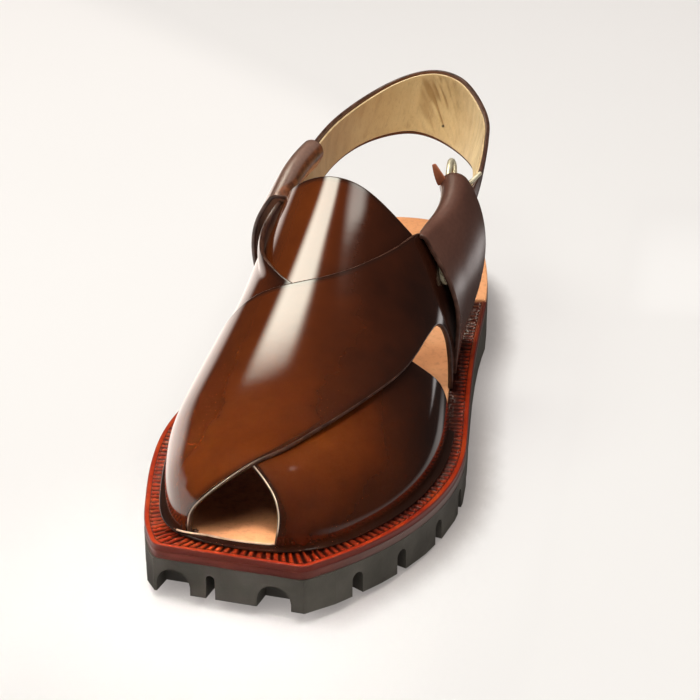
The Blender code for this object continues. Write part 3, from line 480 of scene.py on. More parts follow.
def to_model(points):
    """(x, station, height) in millimetres to the model's metres."""
    x, station, height = np.moveaxis(np.asarray(points, dtype=float), -1, 0)
    return np.stack([x - CENTRE_X, CENTRE_STATION - station, height], axis=-1) * MM


def add_object(name, data):
    thing = bpy.data.objects.new(name, data)
    bpy.context.scene.collection.objects.link(thing)
    return thing


def carry(mesh, name, kind, field, values):
    """Store values at a mesh's points for its material to read."""
    layer = mesh.attributes.new(name, kind, "POINT")
    layer.data.foreach_set(field, np.asarray(values, dtype=np.float32).reshape(-1))


def build(name, points, faces, materials, slots=None, lay=None, tone=None):
    """A closed mesh that rides on the shoe, facing out, smooth except at sharp edges."""
    mesh = bpy.data.meshes.new(name)
    mesh.from_pydata(to_model(points).tolist(), [], faces)
    for one in materials:
        mesh.materials.append(one)
    if slots is not None:
        mesh.polygons.foreach_set("material_index", slots)
    if lay is not None:
        carry(mesh, "lay", "FLOAT_VECTOR", "vector", lay)
    if tone is not None:
        carry(mesh, "tone", "FLOAT", "value", tone)
    shape = bmesh.new()
    shape.from_mesh(mesh)
    bmesh.ops.recalc_face_normals(shape, faces=shape.faces)
    shape.to_mesh(mesh)
    shape.free()
    mesh.shade_smooth()
    mesh.set_sharp_from_angle(angle=SHARP_ANGLE)
    thing = add_object(name, mesh)
    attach(thing, "root")
    return thing


def grid_faces(rows, columns, first=0):
    """Quads of a grid of points."""
    corner = first + np.arange(rows - 1)[:, None] * columns + np.arange(columns - 1)
    return (corner.reshape(-1, 1) + [0, columns, columns + 1, 1]).tolist()


def grid_normals(grid):
    return unit(np.cross(np.gradient(grid, axis=0), np.gradient(grid, axis=1)))


def rim_of(rows, columns):
    """Row and column of each point round a grid's border, in order."""
    rim = [(0, j) for j in range(columns)]
    rim += [(i, columns - 1) for i in range(1, rows)]
    rim += [(rows - 1, j) for j in range(columns - 2, -1, -1)]
    rim += [(i, 0) for i in range(rows - 2, 0, -1)]
    return np.array(rim)


def lay_of(grid):
    """Distance along and across a grid, and from its nearer long edge."""
    along = np.cumsum(np.linalg.norm(np.diff(grid, axis=0, prepend=grid[:1]), axis=-1), axis=0)
    across = np.cumsum(np.linalg.norm(np.diff(grid, axis=1, prepend=grid[:, :1]), axis=-1), axis=1)
    edge = np.minimum(across, across[:, -1:] - across)
    return np.stack([along, across, edge], axis=-1)


def plate(name, inner, thickness, facing, materials, bulge=0.3, relief=None, tone=None):
    """Leather with its thickness and rounded cut edges, from a grid of points on its inner face.

    The materials are those of the outer face, the inner face and the cut edge. The bulge is that of the cut
    edge, as a share of the thickness.
    """
    rows, columns = inner.shape[:2]
    normal = grid_normals(inner) * facing
    outer = inner + normal * thickness
    if relief is not None:
        outer = outer + normal * relief[..., None]
    row, column = rim_of(rows, columns).T
    high = outer[row, column]
    low = inner[row, column]
    inside = outer[np.clip(row, 1, rows - 2), np.clip(column, 1, columns - 2)]
    away = unit(np.cross(np.roll(high, -1, axis=0) - np.roll(high, 1, axis=0), high - low))
    away *= np.sign(np.sum(away * (high - inside), axis=-1, keepdims=True))
    points = [outer.reshape(-1, 3), inner.reshape(-1, 3)]
    lay = [lay_of(inner).reshape(-1, 3)] * 2
    rim_lay = lay_of(inner)[row, column] * (1.0, 1.0, 0.0)
    for step in range(1, EDGE_STEPS):
        turn = math.pi * step / EDGE_STEPS
        drop = 0.5 - 0.5 * math.cos(turn)
        points.append(high + (low - high) * drop + away * bulge * thickness * math.sin(turn) ** 0.7)
        lay.append(rim_lay - (0.0, 0.0, drop))
    count = rows * columns
    border = row * columns + column
    rings = 2 * count + np.arange((EDGE_STEPS - 1) * len(row)).reshape(-1, len(row))
    levels = [border, *rings, border + count]
    wall = []
    for upper, lower in zip(levels, levels[1:]):
        wall += np.stack([upper, np.roll(upper, 1), np.roll(lower, 1), lower], axis=-1).tolist()
    faces = grid_faces(rows, columns) + [face[::-1] for face in grid_faces(rows, columns, count)] + wall
    flat = (rows - 1) * (columns - 1)
    slots = [0] * flat + [1] * flat + [2] * len(wall)
    if tone is not None:
        tone = np.concatenate([tone.reshape(-1)] * 2 + [tone[row, column]] * len(rings))
    return build(name, np.concatenate(points), faces, materials, slots, np.concatenate(lay), tone)


def tube(name, rings, materials, closed, lay=None):
    """A closed skin over rings of points; the ends are capped unless the tube closes on itself."""
    count, size = rings.shape[:2]
    numbers = np.arange(count * size).reshape(count, size)
    faces = []
    for i in range(count if closed else count - 1):
        here, ahead = numbers[i], numbers[(i + 1) % count]
        faces += np.stack([here, ahead, np.roll(ahead, -1), np.roll(here, -1)], axis=-1).tolist()
    if not closed:
        faces += numbers[[0, -1]].tolist()
    return build(name, rings.reshape(-1, 3), faces, materials, lay=lay)


def round_wire(name, path, radius, closed, materials):
    """A wire with a round section; the radius may change along it."""
    path = np.array(path)
    along = np.roll(path, -1, axis=0) - np.roll(path, 1, axis=0) if closed else np.gradient(path, axis=0)
    along = unit(along)
    radius = np.broadcast_to(radius, len(path))
    side = unit(np.cross(along, WIRE_UP))
    up = np.cross(side, along)
    turn = np.linspace(0.0, 2.0 * np.pi, WIRE_SIDES, endpoint=False)
    around = side[:, None] * np.cos(turn)[None, :, None] + up[:, None] * np.sin(turn)[None, :, None]
    return tube(name, path[:, None] + radius[:, None, None] * around, materials, closed)


# ---------------------------------------------------------------- procedural materials
class Paint:
    """A Principled material and the few node recipes that the leathers share."""

    def __init__(self, name, **sockets):
        self.material = bpy.data.materials.new(name)
        self.material.use_nodes = True
        self.tree = self.material.node_tree
        self.shader = self.tree.nodes["Principled BSDF"]
        for socket, value in sockets.items():
            self.shader.inputs[socket.replace("_", " ")].default_value = value
        self.height = None

    def node(self, kind, links=(), **settings):
        made = self.tree.nodes.new(kind)
        for setting, value in settings.items():
            setattr(made, setting, value)
        for socket, value in links:
            if isinstance(value, bpy.types.NodeSocket):
                self.tree.links.new(value, made.inputs[socket])
            else:
                made.inputs[socket].default_value = value
        return made

    def attribute(self, name, output="Fac"):
        return self.node("ShaderNodeAttribute", attribute_name=name).outputs[output]

    def place(self, stretch=(1.0, 1.0, 1.0), lay=False):
        """Coordinates in metres, or along and across the leather in millimetres."""
        if lay:
            source = self.attribute("lay", "Vector")
        else:
            source = self.node("ShaderNodeTexCoord").outputs["Object"]
        return self.node("ShaderNodeMapping", [("Vector", source), ("Scale", stretch)]).outputs[0]

    def part(self, vector, index):
        return self.node("ShaderNodeSeparateXYZ", [("Vector", vector)]).outputs[index]

    def axis(self, index):
        """One of the model's own coordinates, in metres."""
        return self.part(self.place(), index)

    def lay_part(self, index):
        """How far along the leather, across it, or in from its nearer long edge, in millimetres."""
        return self.part(self.attribute("lay", "Vector"), index)

    def noise(self, scale, detail=3.0, stretch=(1.0, 1.0, 1.0), lay=False, twist=0.0, rough=0.5):
        links = [("Vector", self.place(stretch, lay)), ("Scale", scale), ("Detail", detail),
                 ("Distortion", twist), ("Roughness", rough)]
        return self.node("ShaderNodeTexNoise", links).outputs[0]

    def span(self, value, low, high, to_low=0.0, to_high=1.0):
        links = [("Value", value), ("From Min", low), ("From Max", high),
                 ("To Min", to_low), ("To Max", to_high)]
        return self.node("ShaderNodeMapRange", links).outputs[0]

    def maths(self, operation, first, second):
        return self.node("ShaderNodeMath", [(0, first), (1, second)], operation=operation).outputs[0]

    def product(self, first, *others):
        for other in others:
            first = self.maths("MULTIPLY", first, other)
        return first

    def ramp(self, value, *stops):
        made = self.node("ShaderNodeValToRGB", [(0, value)])
        elements = made.color_ramp.elements
        while len(elements) < len(stops):
            elements.new(0.5)
        for element, (place, colour) in zip(elements, stops):
            element.position = place
            element.color = (*colour, 1.0)
        return made.outputs[0]

    def mix(self, share, first, second, blend="MIX"):
        first, second = [(*colour, 1.0) if isinstance(colour, tuple) else colour
                         for colour in (first, second)]
        links = [(0, share), (6, first), (7, second)]
        return self.node("ShaderNodeMix", links, data_type="RGBA", blend_type=blend).outputs[2]

    def tint(self, share, base, value, *stops):
        """The base colour, multiplied in part by a ramp of a value."""
        return self.mix(share, base, self.ramp(value, *stops), "MULTIPLY")

    def drive(self, socket, value):
        self.tree.links.new(value, self.shader.inputs[socket])

    def colour(self, value):
        self.drive("Base Color", value)

    def roughness(self, value, low, high):
        self.drive("Roughness", self.span(value, 0.0, 1.0, low, high))

    def bump(self, height, depth):
        """Adds relief of a depth in millimetres."""
        links = [("Height", height), ("Strength", 1.0), ("Distance", depth * MM)]
        if self.height is not None:
            links.append(("Normal", self.height))
        self.height = self.node("ShaderNodeBump", links).outputs[0]
        self.drive("Normal", self.height)
        if self.shader.inputs["Coat Weight"].default_value > 0.0:
            self.drive("Coat Normal", self.height)


def glossy_leather():
    """Burnished leather from dark to orange-brown by its tone, which carries painted light and shade,
    darkened towards the edges, under a hard polish with fine creases.
    """
    paint = Paint("burnished_leather", Roughness=0.6, Coat_Weight=1.0, Coat_Roughness=0.095, Coat_IOR=1.5,
                  Specular_IOR_Level=0.0)
    clouds = paint.span(paint.noise(22.0, 4.0, twist=0.5), 0.3, 0.7, -0.16, 0.16)
    fine = paint.noise(110.0, 5.0, rough=0.6)
    tone = paint.maths("ADD", paint.attribute("tone"), clouds)
    tone = paint.maths("ADD", tone, paint.span(fine, 0.3, 0.7, -0.07, 0.07))
    colour = paint.ramp(tone, (0.0, (0.013, 0.0042, 0.0026)), (0.35, (0.032, 0.0080, 0.0034)),
                        (0.7, (0.068, 0.0140, 0.0032)), (1.0, (0.105, 0.023, 0.0040)))
    rim = paint.span(paint.lay_part(2), 0.0, 2.5, 1.0, 0.0)
    paint.colour(paint.mix(rim, colour, (0.017, 0.0062, 0.0040)))
    paint.roughness(fine, 0.38, 0.52)
    paint.bump(paint.noise(150.0, 2.0, stretch=(0.3, 1.0, 1.0)), 0.012)
    paint.bump(paint.noise(2200.0, 2.0, stretch=(0.25, 1.0, 1.0)), 0.003)
    paint.bump(paint.noise(700.0, 4.0, stretch=(0.12, 1.0, 1.0), rough=0.7), 0.004)
    return paint.material


# a painted highlight, pale cream, on the cut edges' upper corner near the toe
HIGHLIGHT_START = (3.0, 6.0)      # lengths along a cut edge between which its painted highlight begins
HIGHLIGHT_Y = (-0.095, -0.100)    # model y between which it begins towards the toe
HIGHLIGHT_DEPTH = (-0.17, -0.05)  # depths in the edge between which it fades, as shares of the thickness
HIGHLIGHT_COLOUR = (0.85, 0.72, 0.58)


def cut_edge(name, colour, light, highlight_lengths=None):
    """A painted cut edge, rubbed lighter; near the toe its upper corner carries a painted highlight in pale
    cream, fading between two lengths.
    """
    paint = Paint(name, Roughness=0.38, Coat_Weight=0.3, Coat_Roughness=0.25)
    worn = paint.noise(220.0, 4.0)
    dye = paint.ramp(worn, (0.35, colour), (0.75, light))
    if highlight_lengths is not None:
        along = paint.lay_part(0)
        # painted highlight: pale cream along the upper corner of the edge near the toe, broken up by the
        # wear noise
        share = paint.product(paint.span(worn, 0.3, 0.7, 0.4, 1.0), paint.span(along, *HIGHLIGHT_START),
                              paint.span(along, *highlight_lengths, 1.0, 0.0), paint.span(paint.axis(1), *HIGHLIGHT_Y),
                              paint.span(paint.lay_part(2), *HIGHLIGHT_DEPTH))
        dye = paint.mix(share, dye, HIGHLIGHT_COLOUR)
    paint.colour(dye)
    paint.bump(paint.noise(900.0, 3.0), 0.05)
    return paint.material


def flesh_side(name, colour, light):
    """The matt, fibrous inner side of leather."""
    paint = Paint(name, Roughness=0.82, Sheen_Weight=0.15)
    fibre = paint.noise(420.0, 5.0, rough=0.65)
    paint.colour(paint.mix(paint.noise(40.0, 3.0), paint.ramp(fibre, (0.3, colour), (0.75, light)), colour))
    paint.bump(fibre, 0.12)
    return paint.material


def satin_leather(name, dark, light):
    """The side straps: the same brown, less polished, and rust-brown where the tone is 1."""
    paint = Paint(name, Roughness=0.5, Coat_Weight=1.0, Coat_Roughness=0.27, Specular_IOR_Level=0.2)
    clouds = paint.noise(30.0, 4.0)
    tone = paint.ramp(clouds, (0.3, dark), (0.7, light))
    rust = paint.noise(260.0, 4.0, rough=0.65)
    rust = paint.ramp(rust, (0.3, (0.035, 0.012, 0.006)), (0.7, (0.19, 0.060, 0.022)))
    tone = paint.mix(paint.attribute("tone"), tone, rust)
    pores = paint.noise(700.0, 3.0)
    paint.colour(paint.tint(0.5, tone, pores, (0.35, (0.8, 0.78, 0.78)), (0.65, (1.1, 1.1, 1.1))))
    paint.roughness(clouds, 0.4, 0.54)
    paint.bump(pores, 0.03)
    paint.bump(paint.noise(120.0, 3.0, stretch=(1.0, 0.3, 1.0)), 0.05)
    return paint.material


BAND = 1.7                   # plain band outside the welt's comb
OUTER_SIDE = (0.012, 0.036)  # model x between which the welt and the midsole take their outer colour


def welt_leather():
    """Red-dyed welt: bright on the comb's ridges, with painted shade nearly black between them, a darker
    lateral comb that is partly dye and partly painted shade, painted glints, and darker brown towards its
    rear ends.
    """
    paint = Paint("welt_red", Roughness=0.5, Coat_Weight=0.45, Coat_Roughness=0.14, Specular_IOR_Level=0.2)
    distance = paint.lay_part(1)
    side, back = paint.axis(0), paint.axis(1)
    dye = paint.ramp(paint.noise(90.0, 5.0, rough=0.6), (0.3, (0.17, 0.010, 0.003)),
                     (0.5, (0.29, 0.022, 0.004)), (0.7, (0.36, 0.045, 0.007)))
    # the comb's inner part is darker on the lateral side: partly darker dye, partly painted shade, as that
    # side faces away from the key light and lies in the under strap's shadow
    comb = paint.product(paint.span(distance, BAND + 0.6, BAND + 2.4),
                         paint.span(side, *OUTER_SIDE, 0.0, 0.85))
    dye = paint.mix(comb, dye, (0.030, 0.006, 0.003))
    dye = paint.mix(paint.span(back, 0.018, 0.045, 0.0, 0.85), dye, (0.034, 0.011, 0.008))
    dye = paint.mix(paint.span(distance, 0.1, 0.45), (0.112, 0.019, 0.013), dye)
    flecks = paint.noise(650.0, 3.0, rough=0.6)
    # painted glints: small bright orange flecks on the comb, fewer on the lateral side
    glint = paint.product(paint.span(flecks, 0.58, 0.68, 0.0, 0.6), paint.span(distance, BAND, BAND + 0.2),
                          paint.span(side, 0.0, 0.03, 1.0, 0.25))
    dye = paint.mix(glint, dye, (0.50, 0.17, 0.05))
    # painted shade: nearly black where the comb sinks between its ridges
    paint.colour(paint.mix(paint.span(paint.lay_part(2), 0.15, 0.7), (0.018, 0.003, 0.002), dye))
    paint.bump(flecks, 0.07)
    return paint.material


def edge_leather():
    """The midsole's side, dyed red-brown and greyer on the outer side, with fine lines along its layers."""
    paint = Paint("midsole_edge", Roughness=0.38, Coat_Weight=0.35, Coat_Roughness=0.25)
    stain = paint.noise(60.0, 4.0)
    layers = paint.noise(900.0, 2.0, stretch=(0.04, 0.04, 1.0))
    tone = paint.ramp(stain, (0.3, (0.085, 0.014, 0.009)), (0.7, (0.15, 0.027, 0.018)))
    tone = paint.tint(0.5, tone, layers, (0.35, (0.6, 0.55, 0.55)), (0.65, (1.2, 1.15, 1.1)))
    paint.colour(paint.mix(paint.span(paint.axis(0), *OUTER_SIDE, 0.0, 0.7), tone, (0.115, 0.085, 0.075)))
    paint.bump(layers, 0.06)
    return paint.material


def footbed_leather():
    """Tan footbed with handling marks and soft mottling."""
    paint = Paint("footbed_tan", Roughness=0.6, Coat_Weight=0.12, Coat_Roughness=0.4)
    wash = paint.noise(26.0, 5.0, twist=0.8)
    specks = paint.noise(520.0, 4.0, rough=0.7)
    tone = paint.ramp(wash, (0.28, (0.56, 0.23, 0.095)), (0.5, (0.72, 0.33, 0.15)),
                      (0.75, (0.82, 0.42, 0.21)))
    paint.colour(paint.tint(0.7, tone, specks, (0.28, (0.72, 0.66, 0.6)), (0.5, (1.05, 1.05, 1.05))))
    paint.roughness(wash, 0.5, 0.68)
    paint.bump(paint.noise(800.0, 4.0, rough=0.6), 0.05)
    return paint.material


# pricked holes in the back strap's lining: middle as x, station, height, and radius
LINING_HOLES = [((13.9, 7.6, 65.5), 0.75), ((8.1, 4.2, 85.0), 0.5)]


def khaki_lining():
    """The back strap's lining: creased beige leather with painted shade in its creases and on its medial
    side, and two pricked holes painted dark for the shade inside them.
    """
    paint = Paint("khaki_lining", Roughness=0.7, Sheen_Weight=0.1)
    folds = paint.noise(0.9, 4.0, stretch=(1.0, 0.35, 0.0), lay=True, twist=1.2, rough=0.6)
    dirt = paint.noise(45.0, 6.0, rough=0.68)
    tone = paint.ramp(dirt, (0.25, (0.52, 0.37, 0.16)), (0.5, (0.72, 0.55, 0.27)),
                      (0.75, (0.84, 0.67, 0.35)))
    # painted shade: darker on the medial side, which faces away from the key light
    tone = paint.mix(paint.span(paint.axis(0), -0.03, 0.03, 0.75, 0.0), tone, (0.30, 0.175, 0.075))
    # painted shade in the creases: the tone comes from the lining's relief, and the folds' noise darkens its
    # hollows
    tone = paint.tint(1.0, tone, paint.attribute("tone"), (0.25, (0.60, 0.52, 0.42)),
                      (0.5, (0.95, 0.95, 0.95)), (0.75, (1.0, 1.0, 1.0)))
    tone = paint.tint(0.3, tone, folds, (0.3, (0.55, 0.50, 0.42)), (0.5, (1.05, 1.04, 1.0)))
    # the pricked holes are painted dark for the shade inside them
    for hole, size in LINING_HOLES:
        links = [(0, paint.place()), (1, tuple(to_model(hole)))]
        away = paint.node("ShaderNodeVectorMath", links, operation="DISTANCE").outputs["Value"]
        pricked = paint.span(away, 0.6 * size * MM, 1.2 * size * MM, 1.0, 0.0)
        tone = paint.mix(pricked, tone, (0.020, 0.010, 0.006))
    paint.colour(tone)
    paint.bump(folds, 0.12)
    paint.bump(paint.noise(700.0, 4.0), 0.05)
    return paint.material


def rubber():
    """Moulded dark rubber with dust in its pores."""
    paint = Paint("outsole_grey", Roughness=0.62, Specular_IOR_Level=0.45)
    dust = paint.noise(75.0, 5.0, rough=0.6)
    paint.colour(paint.ramp(dust, (0.3, (0.046, 0.042, 0.035)), (0.7, (0.082, 0.075, 0.063))))
    paint.roughness(dust, 0.5, 0.75)
    paint.bump(paint.noise(900.0, 4.0), 0.06)
    paint.bump(paint.noise(140.0, 3.0), 0.08)
    return paint.material


def brass():
    """Pale brass, tarnished in the hollows, with fine drawing marks."""
    paint = Paint("pale_brass", Metallic=0.6, Roughness=0.3)
    tarnish = paint.noise(260.0, 4.0)
    paint.colour(paint.ramp(tarnish, (0.3, (0.50, 0.42, 0.27)), (0.65, (0.80, 0.74, 0.56))))
    paint.roughness(tarnish, 0.18, 0.4)
    paint.bump(paint.noise(1800.0, 2.0, stretch=(1.0, 0.15, 1.0)), 0.02)
    return paint.material


# ---------------------------------------------------------------- outlines and patterns
LAST_CORE = (-5.0, 150.0, 25.0)
STRAP_ROWS = 200
STRAP_COLUMNS = 90
TONGUE_GRID = 110
CLOUD_CELLS = (256, 64)


def outward(grid, core):
    """Which way a grid's normals have to be turned to point away from a core, 1 or -1."""
    return float(np.sign(np.sum(grid_normals(grid) * (grid - np.array(core)))))


def round_toe(path, station):
    """The part of a closed outline in front of a station, from the lateral side round the toe."""
    part = path[path[:, 1] > station]
    jump = int(np.argmax(np.linalg.norm(part - np.roll(part, 1, axis=0), axis=1)))
    part = np.roll(part, -jump, axis=0)
    return part if part[0, 0] > part[-1, 0] else part[::-1]


def heel_arc(path, station):
    """The part of a closed outline behind a station, from the medial to the lateral side."""
    part = path[path[:, 1] < station]
    part = part[np.argsort(np.arctan2(part[:, 0], 30.0 - part[:, 1]))]
    ends = [[side_x(path, side, station), station] for side in (-1, 1)]
    return np.concatenate([[ends[0]], part, [ends[1]]])


def strap_pattern(last, front, rear):
    """A crossed strap's flat pattern between its front and rear edges and the feather line at both ends."""
    front = smooth_path(front, STRAP_ROWS, CROWD)
    rear = smooth_path(rear, STRAP_ROWS, CROWD)
    start = last.feather_between(front[0], rear[0], STRAP_COLUMNS, CROWD)
    end = last.feather_between(front[-1], rear[-1], STRAP_COLUMNS, CROWD)
    return patch(start, end, front, rear, (CROWD, CROWD))


def tongue_pattern():
    left, right, bottom, top = [smooth_path(edge, TONGUE_GRID, CROWD) for edge in (
        TONGUE_LEFT[::-1], TONGUE_RIGHT[::-1], TONGUE_BOTTOM, TONGUE_TOP)]
    return patch(left, right, bottom, top, (CROWD, CROWD))


def ironed(grid, reach=3):
    """The same grid with its small waves smoothed out; its border stays."""
    return np.swapaxes(average(np.swapaxes(average(grid, reach), 0, 1), reach), 0, 1)


def cloud(along, across, size_along, size_across, seed):
    """A smooth random field from -1 to 1 over millimetre coordinates."""
    rng = np.random.default_rng(seed)
    rows, columns = CLOUD_CELLS
    values = rng.uniform(-1.0, 1.0, CLOUD_CELLS)
    u = along / size_along + 40.0
    v = across / size_across + 20.0
    row = np.floor(u).astype(int)
    column = np.floor(v).astype(int)
    s = smoothstep(u - row)
    t = smoothstep(v - column)
    left = column % columns
    right = (column + 1) % columns
    near, far = [values[line % rows, left] * (1.0 - t) + values[line % rows, right] * t
                 for line in (row, row + 1)]
    return near * (1.0 - s) + far * s


# ---------------------------------------------------------------- upper
OVER_LOOSE = 2.4             # how far the over strap's front edge stands off the strap beneath it
UNDER_LOOSE = 2.6            # how far the under strap's rear edge stands off the tongue
PALE_MIDDLE = (5.0, 234.0)   # where the under strap's leather is lightest, and how far this reaches
PALE_REACH = (42.0, 54.0)


def make_crossed_straps(last, over_leather, under_leather):
    """The over strap, loose along its front edge, and the under strap, loose beside the tongue."""
    u = even(STRAP_ROWS, CROWD)[:, None]
    v = even(STRAP_COLUMNS, CROWD)[None, :]
    front_part = (1.0 - fade(v, 0.0, 0.35)) * fade(u, 0.04, 0.34) * (1.0 - fade(u, 0.5, 0.25))
    pattern = strap_pattern(last, OVER_STRAP_FRONT, OVER_STRAP_REAR)
    inner = ironed(last.drape(pattern, OVER_LIFT, extra=OVER_LOOSE * front_part))
    # painted light and shade: the over strap is lighter on the medial side, which faces the key light, and
    # darker towards the lateral side
    tone = 0.78 - 0.72 * fade(inner[..., 0], -16.0, 52.0)
    over = plate("over_strap", inner, LEATHER, outward(inner, LAST_CORE), over_leather, tone=tone)
    pattern = strap_pattern(last, UNDER_STRAP_FRONT, UNDER_STRAP_REAR)
    x, station = pattern[..., 0], pattern[..., 1]
    rear_part = fade(v, 0.82, 0.18) * fade(station, 188.0, -22.0) * fade(station, 124.0, 16.0)
    inner = ironed(last.drape(pattern, UNDER_LIFT, extra=UNDER_LOOSE * rear_part * fade(x, -4.0, -6.0)))
    # the under strap's tone: a lighter patch round the pale middle, cut by painted shadow within about 5 mm
    # of the over strap's front edge, and painted light on the medial side, which faces the key light
    away = (inner[..., :2] - np.array(PALE_MIDDLE)) / np.array(PALE_REACH)
    cover = smooth_path(OVER_STRAP_FRONT, 160)
    below = np.min(np.linalg.norm(inner[..., None, :2] - cover, axis=-1), axis=-1)
    tone = 1.1 * (1.0 - smoothstep(np.hypot(away[..., 0], away[..., 1]))) * fade(below, 0.5, 5.0)
    tone += 0.75 * fade(inner[..., 0], -8.0, -16.0)
    under = plate("under_strap", inner, LEATHER, outward(inner, LAST_CORE), under_leather, tone=tone)
    return over, under


def make_tongue(last, leather):
    inner = ironed(last.drape(tongue_pattern(), TONGUE_LIFT))
    # painted light and shade: the tongue is lighter on the medial side, which faces the key light, and
    # darker towards the lateral side
    tone = 0.85 - 0.7 * fade(inner[..., 0], -12.0, 34.0)
    return plate("tongue", inner, LEATHER, outward(inner, LAST_CORE), leather, tone=tone)


# section of the turned-out foot: out from the feather line, and over the welt's top
FLANGE_PROFILE = [(-0.8, 0.5), (0.0, 0.6), (0.35, 1.1), (0.7, 1.6), (1.15, 1.6), (1.7, 1.35), (2.6, 1.25),
                  (3.5, 1.05), (4.15, 0.75), (4.3, 0.4), (4.0, 0.12), (0.8, 0.08), (-0.8, 0.08)]
FLANGE_END = 0.25            # size of its section at both ends, reached over a share of its length
FLANGE_TAPER = 0.02
LIP_WIRE = 0.32
LIP_START = (-26.6, 266.5)
LIP_HEIGHT = 1.65


def foot_line(last, start, end, count, reach):
    """The feather line between two pattern points, and its level normals away from the foot."""
    path = average(last.feather_between(np.array(start), np.array(end), count), reach)
    return path, away_from(last.outline.mean(axis=0), path, np.gradient(path, axis=0))


def make_flange(last, leather):
    """The upper's turned-out foot, a rolled strip along the feather line and across the toe opening."""
    path, away = foot_line(last, UNDER_STRAP_REAR[0], OVER_STRAP_REAR[0], 420, 6)
    profile = soften(close_spread(np.array(FLANGE_PROFILE), 0.25), 1)
    places = np.linspace(0.0, 1.0, len(path))
    ends = smoothstep(np.minimum(places, 1.0 - places) / FLANGE_TAPER)
    size = (ends * (1.0 - FLANGE_END) + FLANGE_END)[:, None]
    plan = path[:, None] + away[:, None] * (profile[None, :, 0] * size)[..., None]
    rings = raised(plan, welt_top(plan[..., 1]) + profile[None, :, 1] * size)
    return tube("flange", rings, [leather], False)


def make_toe_lip(last, edge):
    """A thin wire along the turned-out foot across the toe opening, coloured pale cream as a painted
    highlight.
    """
    path, away = foot_line(last, UNDER_STRAP_FRONT[0], LIP_START, 90, 4)
    plan = path + (1.0 + 2.8 * smoothstep(np.linspace(-2.0, 1.0, len(path)))[:, None]) * away
    return round_wire("toe_lip", raised(plan, welt_top(plan[:, 1]) + LIP_HEIGHT), LIP_WIRE, False, [edge])


SIDE_ROWS = 80
SIDE_COLUMNS = 50
FOLD_TURNS = 26
TAIL_ROWS = 8
OPEN_CURL = 0.35             # share of the half turn that a side strap's fold makes at its front edge
RUST_ROW = 93.5              # the medial side strap is rust-brown from about this row on


def side_strap_grid(last, front, rear, lift, swell, sag, droop, fold):
    """A side strap's inner face: up the last, round the fold and down the tail behind it."""
    front_edge, rear_edge = [smooth_path(edge, SIDE_ROWS) for edge in (front, rear)]
    foot, top = [spread(np.stack([front_edge[end], rear_edge[end]]), SIDE_COLUMNS) for end in (0, -1)]
    share = np.linspace(0.0, 1.0, SIDE_COLUMNS)
    top[:, 0] += sag * np.sin(np.pi * share)
    pattern = patch(foot, top, front_edge, rear_edge)
    stand = np.interp(share, (0.0, 0.5, 1.0), lift)[None, :]
    swollen = np.sin(np.linspace(0.0, np.pi, SIDE_ROWS))[:, None] * (1.0 - 0.6 * share)[None, :]
    hanging = smoothstep(np.linspace(-0.4, 1.0, SIDE_ROWS))[:, None] * (1.0 - fade(share, 0.0, 0.8))[None, :]
    leg = last.drape(pattern, stand + swell * swollen - droop * hanging, SIDE_FOOT)
    girth, angle, _ = last.unfold(pattern[-1])
    rise = unit(leg[-1] - leg[-3])
    away = last.normal(girth, angle)
    away = unit(away - rise * np.sum(away * rise, axis=-1, keepdims=True))
    radius, tail = [(ahead + (behind - ahead) * share)[:, None] for ahead, behind in zip(*fold)]
    curl = (OPEN_CURL + (1.0 - OPEN_CURL) * fade(share, 0.0, 0.35))[:, None] * math.pi
    turns = [curl * step / FOLD_TURNS for step in range(1, FOLD_TURNS + 1)]
    bend = [leg[-1] + radius * (rise * np.sin(turn) - away * (1.0 - np.cos(turn))) for turn in turns]
    onward = rise * np.cos(curl) - away * np.sin(curl)
    end = [bend[-1] + onward * tail * step / TAIL_ROWS for step in range(1, TAIL_ROWS + 1)]
    return np.array(list(leg) + bend + end)


def make_side_straps(last, faces, backs):
    made = []
    for (name, shape), face_leather in zip(SIDE_STRAPS.items(), faces):
        inner = ironed(side_strap_grid(last, **shape), 2)
        turned = np.zeros(inner.shape[:2])
        if name == "medial_side_strap":
            turned[:] = fade(np.arange(len(inner))[:, None], RUST_ROW, 2.0)
        facing = outward(inner[:SIDE_ROWS], LAST_CORE)
        made.append(plate(name, inner, SIDE_LEATHER, facing, [face_leather] + backs, tone=turned))
    return made


# ---------------------------------------------------------------- sole
COMB_PITCH = 2.85            # from ridge to ridge round the welt
COMB_START = 0.7             # the comb begins this far inside the plain band
COMB_GAP = 0.2               # and ends this far from the welt's inner edge
COMB_RINGS = 18
COMB_SEED = 7
RIDGE_SHIFT = 0.09           # how far a ridge strays from its place, in pitches
RIDGE_HEIGHTS = (0.75, 1.05)
RIDGE_REACHES = (0.30, 0.85)
WELT_POINTS = 1500
# rings round the welt: distance from its edge, height, and share of the comb's ridges
COMB_FOOT = [(BAND + 0.45, -0.45, 0.75), (BAND + 0.2, -0.35, 0.3), (BAND, -0.12, 0.0)]
WELT_SIDE = 2.3
# the plain rings outside the comb: distance and height
WELT_RINGS = [(BAND - 0.25, 0.0), (1.0, 0.03), (0.5, 0.0), (0.25, -0.06), (0.08, -0.18), (0.0, -0.38),
              (0.0, -1.0), (0.0, -1.7), (0.0, -2.15), (0.12, -WELT_SIDE)]


